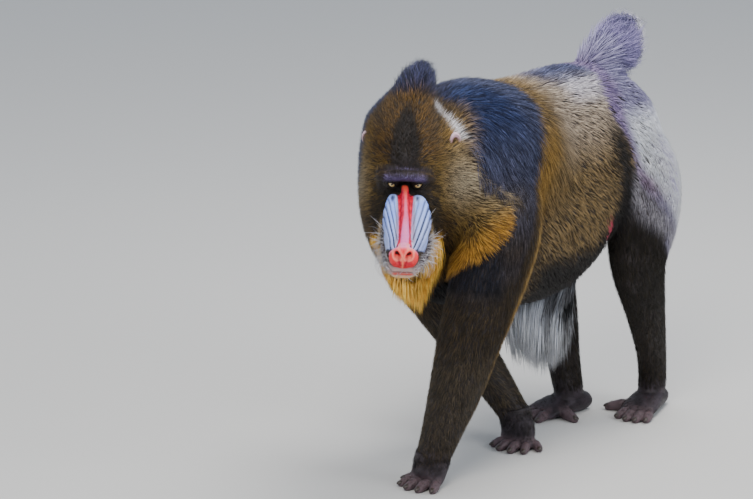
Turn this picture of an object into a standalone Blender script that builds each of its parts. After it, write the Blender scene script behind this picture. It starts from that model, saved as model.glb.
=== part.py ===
"""A life-size walking male mandrill as a museum shows it, each part of its body a solid of its own.

Metres, +Z up. The animal faces -Y, its left side is +X, and it stands on Z = 0.
"""

import math
import random

import bmesh
import bpy
from mathutils import Matrix, Vector
from mathutils.bvhtree import BVHTree

# The joint that touching solids keep between them.
GAP = 0.0003


# The head: the point midway between the eyes, and how the head is turned and lowered.
EYES = Vector((0.080, -0.468, 0.546))
HEAD_YAW = math.radians(38)
HEAD_PITCH = math.radians(14)
HEAD_ROLL = math.radians(2.5)
# The face looks a little further to the left than the ruff stands.
HEAD_TURN = math.radians(2.5)
EYE_SPACING = 0.0425
EYE_RADIUS = 0.0115
MUZZLE_SLOPE = math.radians(20)
MOUTH_DEPTH = 0.052

# How finely the body is laid out before it is parted.
VOXEL = 0.008
SMOOTHING_ROUNDS = 6
BODY_TRIANGLES = 2400
RING_POINTS = 20

BIG = 2.0

# The locks: how far the coat's core lies inside the tips, and how a lock is shaped.
MANE_INSET = 0.009
HELMET_INSET = 0.007
LOCK_SINK = 0.0045
LOCK_THICKNESS = 0.0055
LOCK_CLEARANCE = 0.0006
LOCK_RINGS = (0.0, 0.38, 0.74)
LOCK_WIDTHS = (0.85, 1.0, 0.62)
LOCK_TRIES = 6
LOCK_SEED = 11


def clear_scene():
    for obj in list(bpy.data.objects):
        bpy.data.objects.remove(obj)


def new_collection(name, parent=None):
    made = bpy.data.collections.new(name)
    (parent or bpy.context.scene.collection).children.link(made)
    return made


def material(name, colour, roughness):
    made = bpy.data.materials.new(name)
    made.use_nodes = True
    shader = made.node_tree.nodes["Principled BSDF"]
    shader.inputs["Base Color"].default_value = (*colour, 1)
    shader.inputs["Roughness"].default_value = roughness
    shader.inputs["Metallic"].default_value = 0.0
    return made


clear_scene()
MODEL = new_collection("mandrill")
HELPERS = new_collection("helpers")


def link(name, mesh, collection=HELPERS):
    obj = bpy.data.objects.new(name, mesh)
    collection.objects.link(obj)
    return obj


def from_bmesh(name, bm):
    bmesh.ops.recalc_face_normals(bm, faces=bm.faces)
    mesh = bpy.data.meshes.new(name)
    bm.to_mesh(mesh)
    bm.free()
    return link(name, mesh)


def evaluated(obj):
    """The object with its modifiers applied, as a new mesh object in place of the old one."""
    bpy.context.view_layer.update()
    graph = bpy.context.evaluated_depsgraph_get()
    mesh = bpy.data.meshes.new_from_object(obj.evaluated_get(graph))
    mesh.transform(obj.matrix_world)
    made = link(obj.name + "_made", mesh)
    bpy.data.objects.remove(obj)
    return made


def boolean(obj, other, operation, solver="MANIFOLD", keep_other=False):
    cut = obj.modifiers.new("boolean", "BOOLEAN")
    cut.operation = operation
    cut.solver = solver
    cut.object = other
    made = evaluated(obj)
    if not keep_other:
        bpy.data.objects.remove(other)
    return made


def largest_body(obj):
    """Keeps the largest closed surface of a mesh and drops the loose scraps."""
    bm = bmesh.new()
    bm.from_mesh(obj.data)
    bmesh.ops.triangulate(bm, faces=bm.faces)
    left, bodies = set(bm.faces), []
    while left:
        stack, body = [left.pop()], []
        while stack:
            face = stack.pop()
            body.append(face)
            for edge in face.edges:
                for near in edge.link_faces:
                    if near in left:
                        left.remove(near)
                        stack.append(near)
        bodies.append(body)
    bodies.sort(key=lambda body: -sum(f.calc_area() for f in body))
    for body in bodies[1:]:
        bmesh.ops.delete(bm, geom=body, context="FACES")
    loose = [v for v in bm.verts if not v.link_faces]
    bmesh.ops.delete(bm, geom=loose, context="VERTS")
    bm.to_mesh(obj.data)
    bm.free()
    return obj


# Lofts: a body is a row of closed rings, joined ring to ring and capped.


def egg_ring(centre, side, up, half_width, rise, drop, power=2.0, count=RING_POINTS):
    """A ring of superellipse halves: half_width across, rise above its centre and drop below it."""
    points = []
    for k in range(count):
        angle = 2 * math.pi * k / count
        c, s = math.cos(angle), math.sin(angle)
        across = math.copysign(abs(c) ** (2 / power), c) * half_width
        along = math.copysign(abs(s) ** (2 / power), s) * (rise if s > 0 else drop)
        points.append(centre + side * across + up * along)
    return points


def loft(name, rings):
    bm = bmesh.new()
    rows = [[bm.verts.new(p) for p in ring] for ring in rings]
    count = len(rows[0])
    for low, high in zip(rows, rows[1:]):
        for k in range(count):
            n = (k + 1) % count
            bm.faces.new((low[k], low[n], high[n]))
            bm.faces.new((low[k], high[n], high[k]))
    bm.faces.new(list(reversed(rows[0])))
    bm.faces.new(rows[-1])
    return from_bmesh(name, bm)


def tube(name, stations, side_hint, count=16, grow=0.0):
    """A limb: stations of (centre, half-width to the side, half-depth), each ring square to the path."""
    centres = [Vector(s[0]) for s in stations]
    rings = []
    for k, (_, wide, deep) in enumerate(stations):
        before, after = centres[max(k - 1, 0)], centres[min(k + 1, len(centres) - 1)]
        along = (after - before).normalized()
        fore = along.cross(Vector(side_hint)).normalized()
        side = fore.cross(along).normalized()
        rings.append(
            egg_ring(centres[k], side, fore, wide + grow, deep + grow, deep + grow, 2.1, count)
        )
    return loft(name, rings)


def ellipsoid(name, centre, axes, radii, segments=16, rings=10):
    bm = bmesh.new()
    bmesh.ops.create_uvsphere(bm, u_segments=segments, v_segments=rings, radius=1.0)
    shape = axes.to_4x4() @ Matrix.Diagonal((*radii, 1.0))
    shape.translation = centre
    bm.transform(shape)
    return from_bmesh(name, bm)


def box(name, centre, axes, halves):
    """A box whose sides lie along the columns of axes."""
    bm = bmesh.new()
    bmesh.ops.create_cube(bm, size=2.0)
    shape = axes.to_4x4() @ Matrix.Diagonal((*halves, 1.0))
    shape.translation = centre
    bm.transform(shape)
    return from_bmesh(name, bm)


def frame_of(x_axis, y_axis, z_axis, origin):
    made = Matrix((x_axis, y_axis, z_axis)).transposed().to_4x4()
    made.translation = origin
    return made


# The head's two frames: RUFF stands upright and is only turned, HEAD is lowered with the face.
UP = Vector((0, 0, 1))
SIDE = Vector((1, 0, 0))
FORWARD = Vector((math.sin(HEAD_YAW), -math.cos(HEAD_YAW), 0))
LEFT = UP.cross(FORWARD)
RUFF = frame_of(LEFT, -FORWARD, UP, EYES)
HEAD = (
    RUFF
    @ Matrix.Rotation(HEAD_TURN, 4, "Z")
    @ Matrix.Rotation(HEAD_ROLL, 4, "Y")
    @ Matrix.Rotation(HEAD_PITCH, 4, "X")
)
MUZZLE_OUT = Vector((0, -math.cos(MUZZLE_SLOPE), -math.sin(MUZZLE_SLOPE)))
MUZZLE_TOP = Vector((0, -math.sin(MUZZLE_SLOPE), math.cos(MUZZLE_SLOPE)))


# The trunk: height of back and belly, and half-width, at each distance along Y.
TRUNK = [
    # y, top, bottom, half-width
    (-0.365, 0.500, 0.385, 0.040),
    (-0.345, 0.560, 0.335, 0.075),
    (-0.300, 0.610, 0.300, 0.105),
    (-0.230, 0.640, 0.275, 0.128),
    (-0.150, 0.652, 0.262, 0.138),
    (-0.070, 0.655, 0.255, 0.138),
    (0.000, 0.658, 0.262, 0.135),
    (0.060, 0.660, 0.290, 0.130),
    (0.120, 0.655, 0.340, 0.124),
    (0.180, 0.640, 0.385, 0.118),
    (0.230, 0.608, 0.405, 0.099),
    (0.262, 0.560, 0.420, 0.070),
    (0.278, 0.515, 0.440, 0.046),
]

# The neck under its mane: like the trunk, with the centre's X.
NECK = [
    # x, y, top, bottom, half-width
    (0.040, -0.400, 0.645, 0.420, 0.060),
    (0.032, -0.360, 0.668, 0.400, 0.088),
    (0.024, -0.300, 0.683, 0.385, 0.122),
    (0.015, -0.240, 0.684, 0.380, 0.138),
    (0.000, -0.170, 0.678, 0.380, 0.145),
    (0.000, -0.115, 0.660, 0.390, 0.139),
    (0.000, -0.070, 0.640, 0.430, 0.122),
]

# The head's coat from crown to throat, in the RUFF frame.
HELMET = [
    # height, half-width, front, back, shift to the left
    (0.176, 0.007, 0.130, 0.160, 0.024),
    (0.160, 0.022, 0.096, 0.185, 0.018),
    (0.142, 0.038, 0.070, 0.205, 0.011),
    (0.120, 0.056, 0.050, 0.225, 0.005),
    (0.084, 0.075, 0.028, 0.245, 0.0),
    (0.047, 0.083, 0.010, 0.250, 0.0),
    (0.015, 0.086, 0.005, 0.250, 0.0),
    (-0.020, 0.087, 0.005, 0.250, 0.0),
    (-0.055, 0.086, 0.006, 0.240, 0.0),
    (-0.095, 0.079, 0.010, 0.215, 0.0),
    (-0.130, 0.066, 0.018, 0.180, 0.002),
    (-0.160, 0.046, 0.026, 0.130, 0.004),
    (-0.183, 0.020, 0.036, 0.085, 0.006),
]

# Limbs: centre, half-width to the side, half-depth fore and aft.
LEFT_ARM = [
    ((0.085, -0.225, 0.545), 0.035, 0.055),
    ((0.106, -0.240, 0.495), 0.055, 0.078),
    ((0.118, -0.258, 0.445), 0.062, 0.085),
    ((0.120, -0.285, 0.385), 0.060, 0.078),
    ((0.115, -0.315, 0.312), 0.056, 0.067),
    ((0.100, -0.328, 0.246), 0.052, 0.058),
    ((0.080, -0.332, 0.170), 0.047, 0.050),
    ((0.057, -0.341, 0.095), 0.036, 0.040),
    ((0.046, -0.350, 0.050), 0.031, 0.034),
    ((0.042, -0.356, 0.016), 0.032, 0.028),
]
RIGHT_ARM = [
    ((-0.085, -0.215, 0.545), 0.035, 0.055),
    ((-0.104, -0.220, 0.495), 0.055, 0.078),
    ((-0.116, -0.228, 0.445), 0.062, 0.085),
    ((-0.118, -0.210, 0.375), 0.058, 0.076),
    ((-0.112, -0.180, 0.310), 0.054, 0.064),
    ((-0.100, -0.140, 0.245), 0.048, 0.054),
    ((-0.072, -0.100, 0.165), 0.041, 0.044),
    ((-0.027, -0.074, 0.090), 0.033, 0.035),
    ((0.002, -0.067, 0.050), 0.029, 0.030),
    ((0.010, -0.072, 0.016), 0.030, 0.024),
]
LEFT_LEG = [
    ((0.042, 0.165, 0.575), 0.028, 0.045),
    ((0.058, 0.174, 0.530), 0.043, 0.060),
    ((0.075, 0.182, 0.480), 0.058, 0.084),
    ((0.085, 0.184, 0.435), 0.062, 0.092),
    ((0.091, 0.180, 0.390), 0.061, 0.087),
    ((0.095, 0.172, 0.345), 0.054, 0.074),
    ((0.098, 0.158, 0.300), 0.046, 0.061),
    ((0.090, 0.192, 0.222), 0.037, 0.046),
    ((0.076, 0.232, 0.145), 0.030, 0.037),
    ((0.066, 0.256, 0.092), 0.027, 0.033),
    ((0.060, 0.266, 0.050), 0.027, 0.032),
    ((0.058, 0.266, 0.018), 0.028, 0.034),
]
RIGHT_LEG = [
    ((-0.042, 0.165, 0.575), 0.028, 0.045),
    ((-0.058, 0.174, 0.530), 0.043, 0.060),
    ((-0.075, 0.180, 0.480), 0.058, 0.084),
    ((-0.085, 0.178, 0.435), 0.062, 0.090),
    ((-0.093, 0.168, 0.385), 0.060, 0.085),
    ((-0.098, 0.156, 0.335), 0.053, 0.072),
    ((-0.096, 0.148, 0.285), 0.047, 0.060),
    ((-0.082, 0.150, 0.220), 0.040, 0.048),
    ((-0.065, 0.146, 0.165), 0.036, 0.043),
    ((-0.050, 0.140, 0.105), 0.031, 0.037),
    ((-0.040, 0.142, 0.055), 0.028, 0.034),
    ((-0.038, 0.148, 0.018), 0.028, 0.034),
]

# The short upright tail, and its tuft's fan from root to tips.
TAIL = [
    ((0.0, 0.105, 0.600), 0.034, 0.036),
    ((0.0, 0.148, 0.636), 0.032, 0.040),
    ((0.0, 0.190, 0.660), 0.029, 0.042),
    ((0.0, 0.225, 0.671), 0.025, 0.043),
    ((0.0, 0.258, 0.670), 0.018, 0.043),
    ((0.0, 0.290, 0.658), 0.006, 0.038),
]

# Beard and chest tuft, from root to tips, and the fringe that hangs from the belly.
BEARD = [
    # left, back and up from the eyes; half-width and half-depth
    ((0.000, -0.030, -0.085), 0.030, 0.030),
    ((0.004, -0.040, -0.130), 0.030, 0.030),
    ((0.012, -0.030, -0.165), 0.024, 0.025),
    ((0.022, -0.008, -0.195), 0.016, 0.017),
    ((0.031, 0.016, -0.220), 0.005, 0.006),
]
CHEST_TUFT = [
    ((0.005, -0.320, 0.430), 0.052, 0.040),
    ((0.004, -0.352, 0.385), 0.045, 0.036),
    ((0.007, -0.374, 0.340), 0.032, 0.026),
    ((0.012, -0.388, 0.288), 0.006, 0.006),
]
BELLY_FRINGE = [
    # y, top, bottom, half-width
    (-0.070, 0.300, 0.262, 0.022),
    (-0.045, 0.310, 0.215, 0.036),
    (-0.018, 0.320, 0.178, 0.042),
    (0.010, 0.330, 0.155, 0.044),
    (0.045, 0.340, 0.180, 0.045),
    (0.080, 0.350, 0.238, 0.044),
    (0.110, 0.370, 0.300, 0.035),
]

# Palms and soles: centre, half-width to the side, half-depth, from the limb's end to the knuckles.
LEFT_PALM = [
    ((0.044, -0.350, 0.050), 0.031, 0.031),
    ((0.043, -0.355, 0.028), 0.034, 0.024),
    ((0.041, -0.363, 0.013), 0.036, 0.014),
    ((0.040, -0.371, 0.008), 0.033, 0.009),
]
RIGHT_PALM = [
    ((0.002, -0.066, 0.050), 0.029, 0.029),
    ((0.014, -0.074, 0.028), 0.033, 0.023),
    ((0.022, -0.086, 0.013), 0.035, 0.013),
    ((0.025, -0.096, 0.008), 0.032, 0.009),
]
LEFT_SOLE = [
    ((0.050, 0.304, 0.014), 0.018, 0.014),
    ((0.053, 0.292, 0.016), 0.024, 0.020),
    ((0.058, 0.268, 0.019), 0.028, 0.023),
    ((0.066, 0.234, 0.017), 0.033, 0.019),
    ((0.073, 0.207, 0.012), 0.036, 0.014),
    ((0.077, 0.192, 0.008), 0.033, 0.009),
]
RIGHT_SOLE = [
    ((-0.034, 0.190, 0.014), 0.018, 0.014),
    ((-0.035, 0.178, 0.016), 0.024, 0.020),
    ((-0.038, 0.154, 0.019), 0.028, 0.023),
    ((-0.046, 0.120, 0.017), 0.033, 0.019),
    ((-0.053, 0.093, 0.012), 0.036, 0.014),
    ((-0.057, 0.078, 0.008), 0.033, 0.009),
]

# Fingers and toes: root, middle joint and tip on the floor, and their radius.
LEFT_FINGERS = [
    ((0.066, -0.368), (0.073, -0.378), (0.076, -0.389), 0.0076),
    ((0.050, -0.373), (0.053, -0.386), (0.054, -0.400), 0.0082),
    ((0.033, -0.373), (0.032, -0.387), (0.031, -0.401), 0.0082),
    ((0.017, -0.369), (0.012, -0.380), (0.009, -0.391), 0.0076),
    ((0.016, -0.352), (0.003, -0.356), (-0.005, -0.363), 0.0075),
]
RIGHT_FINGERS = [
    ((0.000, -0.093), (-0.006, -0.104), (-0.009, -0.115), 0.0076),
    ((0.016, -0.098), (0.014, -0.112), (0.013, -0.126), 0.0080),
    ((0.032, -0.098), (0.035, -0.112), (0.037, -0.126), 0.0080),
    ((0.047, -0.092), (0.054, -0.104), (0.058, -0.115), 0.0076),
    ((0.046, -0.074), (0.060, -0.078), (0.070, -0.086), 0.0075),
]
LEFT_TOES = [
    ((0.102, 0.198), (0.109, 0.186), (0.112, 0.175), 0.0078),
    ((0.090, 0.192), (0.095, 0.177), (0.097, 0.163), 0.0082),
    ((0.075, 0.190), (0.077, 0.174), (0.078, 0.160), 0.0082),
    ((0.060, 0.193), (0.058, 0.178), (0.057, 0.165), 0.0080),
    ((0.047, 0.222), (0.026, 0.209), (0.011, 0.201), 0.0095),
]
RIGHT_TOES = [
    ((-0.083, 0.084), (-0.090, 0.072), (-0.093, 0.061), 0.0078),
    ((-0.070, 0.078), (-0.075, 0.063), (-0.077, 0.049), 0.0082),
    ((-0.055, 0.076), (-0.057, 0.060), (-0.058, 0.046), 0.0082),
    ((-0.040, 0.079), (-0.038, 0.064), (-0.037, 0.051), 0.0080),
    ((-0.027, 0.108), (-0.006, 0.100), (0.010, 0.096), 0.0095),
]

# Where the limbs are parted: the height of wrist and ankle, and the elbow's and knee's station.
WRIST_HEIGHT = 0.046
ANKLE_HEIGHT = 0.047
ELBOW_STATION = 5
KNEE_STATION = 6

# The muzzle, along its slope from the brow: distance out, half-width, top and bottom.
NASION = Vector((0, -0.002, 0.0))
MUZZLE = [
    (-0.040, 0.026, -0.034, -0.054),
    (-0.006, 0.032, -0.020, -0.054),
    (0.005, 0.034, -0.007, -0.054),
    (0.020, 0.0365, 0.000, -0.054),
    (0.050, 0.0385, 0.001, -0.054),
    (0.090, 0.0375, 0.000, -0.053),
    (0.112, 0.0345, -0.001, -0.052),
    (0.132, 0.030, -0.004, -0.050),
    (0.147, 0.026, -0.011, -0.048),
    (0.155, 0.020, -0.020, -0.045),
]
JAW = [
    (-0.050, 0.022, -0.036, -0.090),
    (0.000, 0.032, -0.036, -0.092),
    (0.050, 0.037, -0.036, -0.086),
    (0.090, 0.035, -0.036, -0.078),
    (0.118, 0.030, -0.036, -0.070),
    (0.140, 0.024, -0.036, -0.062),
    (0.153, 0.017, -0.036, -0.055),
]
CHEEK_RIDGE = [
    # x, distance out, top; half-width and half-height
    (0.0210, 0.006, -0.015, 0.010, 0.007),
    (0.0248, 0.030, -0.006, 0.0140, 0.011),
    (0.0262, 0.060, -0.005, 0.0145, 0.012),
    (0.0252, 0.093, -0.006, 0.0138, 0.012),
    (0.0208, 0.118, -0.009, 0.0105, 0.010),
    (0.0172, 0.129, -0.013, 0.006, 0.006),
]
NOSE_RIDGE = [
    (0.0, -0.008, -0.006, 0.006, 0.006),
    (0.0, 0.020, -0.003, 0.0085, 0.008),
    (0.0, 0.070, -0.002, 0.0100, 0.009),
    (0.0, 0.120, -0.003, 0.0120, 0.010),
    (0.0, 0.144, -0.012, 0.0145, 0.0115),
]
MOUTH_LINE = -0.0445
NOSE_DISC = (0.1455, -0.0160)
NOSTRIL_SPACING = 0.0195

# The ears: left, back and up from the eyes, and their half-sizes.
EAR_SPOTS = {"l": Vector((0.080, 0.079, 0.059)), "r": Vector((-0.065, 0.100, 0.057))}
EAR_SIZE = (0.0145, 0.0065, 0.0200)
EAR_DISH = (0.0108, 0.0078, 0.0160)
EAR_LEAN = (math.radians(8), math.radians(24))

# The brow's bar, and the lids round each eye with the slit between them.
BROW = [
    # left, back and up from the eyes; half-sizes
    (-0.043, 0.022, 0.004, 0.0065, 0.008),
    (-0.034, 0.008, 0.013, 0.0085, 0.011),
    (-0.016, 0.002, 0.0185, 0.0090, 0.013),
    (0.016, 0.002, 0.0185, 0.0090, 0.013),
    (0.034, 0.008, 0.013, 0.0085, 0.011),
    (0.043, 0.022, 0.004, 0.0065, 0.008),
]
LID_SIZE = (0.0175, 0.0128, 0.0138)
SLIT_SIZE = (0.0098, 0.012, 0.0056)

# Where the head ends against the mane, and the mane against the trunk: a point and a lean.
HEAD_SEAM = (Vector((0.0, 0.150, 0.0)), math.radians(-14))
MANE_SEAM = (Vector((0.0, -0.135, 0.565)), math.radians(-23))
CHEST_BOX = (Vector((0.0, -0.345, -0.128)), (0.13, 0.085, 0.5))
HIPS_SEAM = (Vector((0.0, 0.105, 0.480)), math.radians(12))


def trunk():
    rings = []
    for y, top, bottom, wide in TRUNK:
        middle = bottom + (top - bottom) * 0.46
        rise, drop = top - middle, middle - bottom
        rings.append(egg_ring(Vector((0, y, middle)), SIDE, UP, wide, rise, drop, 2.25))
    return loft("trunk", rings)


def neck():
    rings = []
    for x, y, top, bottom, wide in NECK:
        top, wide = top - MANE_INSET, wide - MANE_INSET
        middle = bottom + (top - bottom) * 0.5
        rise, drop = top - middle, middle - bottom
        rings.append(egg_ring(Vector((x, y, middle)), SIDE, UP, wide, rise, drop, 2.2))
    return loft("neck", rings)


def keel():
    rings = []
    for y, top, bottom, wide in BELLY_FRINGE:
        bottom += (0.262 - bottom) * 0.5 if bottom < 0.262 else 0.0
        middle = top - 0.02
        rings.append(egg_ring(Vector((0, y, middle)), SIDE, UP, wide, 0.02, middle - bottom, 1.8))
    return loft("keel", rings)


def seen_from_eyes(stations):
    return [(RUFF @ Vector(centre), wide, deep) for centre, wide, deep in stations]


def helmet():
    rings = []
    for height, wide, front, back, shift in HELMET:
        wide = max(wide - HELMET_INSET, 0.006)
        height -= HELMET_INSET if height > 0.1 else 0.0
        centre = RUFF @ Vector((shift, (front + back) / 2, height))
        half = (back - front) / 2
        rings.append(egg_ring(centre, LEFT, -FORWARD, wide, half, half, 2.15))
    return loft("helmet", rings)


def muzzle_point(x, out, top):
    """A point given on the muzzle: left of its middle, out along its slope, above its back."""
    return HEAD @ (NASION + Vector((x, 0, 0)) + MUZZLE_OUT * out + MUZZLE_TOP * top)


def head_turned(vector):
    return (HEAD.to_3x3() @ vector).normalized()


def muzzle_loft(name, table, grow=0.0, power=2.8, count=16):
    side, up = head_turned(Vector((1, 0, 0))), head_turned(MUZZLE_TOP)
    rings = []
    for k, (out, wide, top, bottom) in enumerate(table):
        out += grow if k == len(table) - 1 else (-grow if k == 0 else 0)
        half = (top - bottom) / 2 + grow
        middle = muzzle_point(0, out, (top + bottom) / 2)
        rings.append(egg_ring(middle, side, up, wide + grow, half, half, power, count))
    return loft(name, rings)


def muzzle_bar(name, table, mirror=1, count=10):
    side, up = head_turned(Vector((1, 0, 0))), head_turned(MUZZLE_TOP)
    rings = [
        egg_ring(muzzle_point(mirror * x, out, top), side, up, wide, high, high, 2.0, count)
        for x, out, top, wide, high in table
    ]
    return loft(name, rings)


def digit(root, middle, tip, radius):
    """A finger or toe that lies on the floor, its knuckle a little raised."""
    stations = [
        ((*root, radius * 1.05), radius * 1.05, radius * 1.15),
        ((*middle, radius * 0.95), radius, radius * 1.05),
        ((*tip, radius * 0.5), radius * 0.65, radius * 0.62),
    ]
    centres = [Vector(s[0]) for s in stations]
    rings = []
    for k, (_, wide, high) in enumerate(stations):
        along = centres[min(k + 1, 2)] - centres[max(k - 1, 0)]
        along.z = 0
        along.normalize()
        rings.append(egg_ring(centres[k], UP.cross(along), UP, wide, high, high, 2.2, 6))
    return loft("digit", rings)


def whole_body():
    """Every mass of the body in one closed surface, its joints smoothed, at a modest triangle count."""
    side = (1, 0, 0)
    pieces = [
        trunk(),
        neck(),
        helmet(),
        tube("arm_l", LEFT_ARM, side),
        tube("arm_r", RIGHT_ARM, side),
        tube("leg_l", LEFT_LEG, side),
        tube("leg_r", RIGHT_LEG, side),
        tube("tail_core", TAIL[:-1], side),
        tube("beard_core", seen_from_eyes(BEARD[:-2]), LEFT),
        tube("chest_core", CHEST_TUFT[:-1], side),
        keel(),
        tube("palm_l", LEFT_PALM, side),
        tube("palm_r", RIGHT_PALM, side),
        tube("sole_l", LEFT_SOLE, side),
        tube("sole_r", RIGHT_SOLE, side),
    ]
    bm = bmesh.new()
    for piece in pieces:
        bm.from_mesh(piece.data)
        bpy.data.objects.remove(piece)
    body = from_bmesh("body", bm)
    remesh = body.modifiers.new("remesh", "REMESH")
    remesh.mode = "VOXEL"
    remesh.voxel_size = VOXEL
    smooth = body.modifiers.new("smooth", "SMOOTH")
    smooth.factor = 0.5
    smooth.iterations = SMOOTHING_ROUNDS
    body = evaluated(body)
    thin = body.modifiers.new("thin", "DECIMATE")
    thin.ratio = BODY_TRIANGLES / (2 * len(body.data.polygons))
    return largest_body(evaluated(body))


def part_off(rest, cell, grown_cell):
    """Parts a node from the rest of the body with a cell, and leaves the thin joint between them."""
    piece = link("piece", rest.data.copy())
    piece = boolean(piece, cell, "INTERSECT")
    rest = boolean(rest, grown_cell, "DIFFERENCE")
    return largest_body(piece), largest_body(rest)


def box_off(rest, centre, axes, halves):
    grown = [h + GAP for h in halves]
    return part_off(rest, box("cell", centre, axes, halves), box("cell", centre, axes, grown))


def behind(point, lean, turn=0.0):
    """A large box whose front face leans back by the given angle through a point."""
    axes = Matrix.Rotation(turn, 3, "Z") @ Matrix.Rotation(lean, 3, "X")
    return point + axes @ Vector((0, BIG, 0)), axes, (BIG, BIG, BIG)


def limb_off(rest, stations, grow, end_margin=0.0, side=(1, 0, 0), waist=0.0):
    """Parts a limb along its own form, sunk into the body it grows from.

    The waist draws the cell in at its first two stations, so that it crosses the skin steeply.
    """
    inner = [list(s) for s in stations]
    for k, share in ((0, 1.0), (1, 0.8)):
        inner[k][1] -= waist * share
        inner[k][2] -= waist * share
    last, before = Vector(stations[-1][0]), Vector(stations[-2][0])
    inner[-1][0] = last + (last - before).normalized() * end_margin
    outer = [list(s) for s in inner]
    top, second = Vector(stations[0][0]), Vector(stations[1][0])
    outer[0][0] = top + (top - second).normalized() * GAP
    return part_off(
        rest, tube("cell", inner, side, 10, grow), tube("cell", outer, side, 10, grow + GAP)
    )


def between(low, high, side_half, fore_half):
    """A box between two joints of a limb, its end faces square to the line between them."""
    low, high = Vector(low), Vector(high)
    along = (high - low).normalized()
    fore = along.cross(Vector((1, 0, 0))).normalized()
    side = fore.cross(along).normalized()
    axes = Matrix((side, fore, along)).transposed()
    return (low + high) / 2, axes, (side_half, fore_half, (high - low).length / 2)


NODES = {}


def keep(name, obj, look):
    """Names a finished node, gives it its material and puts it in the model's collection."""
    obj.name = name
    obj.data.name = name
    obj.data.materials.clear()
    obj.data.materials.append(material(name, *look))
    HELPERS.objects.unlink(obj)
    MODEL.objects.link(obj)
    NODES[name] = obj
    return obj


def fuse(obj, others):
    for other in others:
        obj = boolean(obj, other, "UNION")
    return largest_body(obj)


def flatten_on_floor(obj):
    """Cuts off what would reach below the floor, so that the node rests on flats."""
    floor = box("floor", Vector((0, 0, -0.5)), Matrix.Identity(3), (BIG, BIG, 0.5))
    return largest_body(boolean(obj, floor, "DIFFERENCE"))


def limb_nodes(body, side, arm, leg, fingers, toes):
    """Parts one side's hand, forearm, upper arm, foot, shank and thigh from the body."""
    made = {}
    upright = Matrix.Identity(3)
    wrist, elbow = Vector(arm[-2][0]), Vector(arm[ELBOW_STATION][0])
    ankle, knee = Vector(leg[-2][0]), Vector(leg[KNEE_STATION][0])
    depth = 0.5
    made["hand"], body = box_off(
        body, Vector((wrist.x, wrist.y - 0.01, WRIST_HEIGHT - depth)), upright, (0.065, 0.075, depth)
    )
    made["forearm"], body = box_off(body, *between(wrist + Vector((0, 0, -0.02)), elbow, 0.09, 0.09))
    made["foot"], body = box_off(
        body, Vector((ankle.x, ankle.y - 0.03, ANKLE_HEIGHT - depth)), upright, (0.065, 0.09, depth)
    )
    made["shank"], body = box_off(body, *between(ankle + Vector((0, 0, -0.02)), knee, 0.09, 0.09))
    made["upper_arm"], body = limb_off(body, [arm[k] for k in (0, 1, 2, 4, 6)], 0.012, waist=0.018)
    made["thigh"], body = limb_off(body, [leg[k] for k in (0, 1, 2, 4, 6, 7)], 0.012, waist=0.018)
    made["hand"] = flatten_on_floor(fuse(made["hand"], [digit(*d) for d in fingers]))
    made["foot"] = flatten_on_floor(fuse(made["foot"], [digit(*d) for d in toes]))
    return made, body


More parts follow.
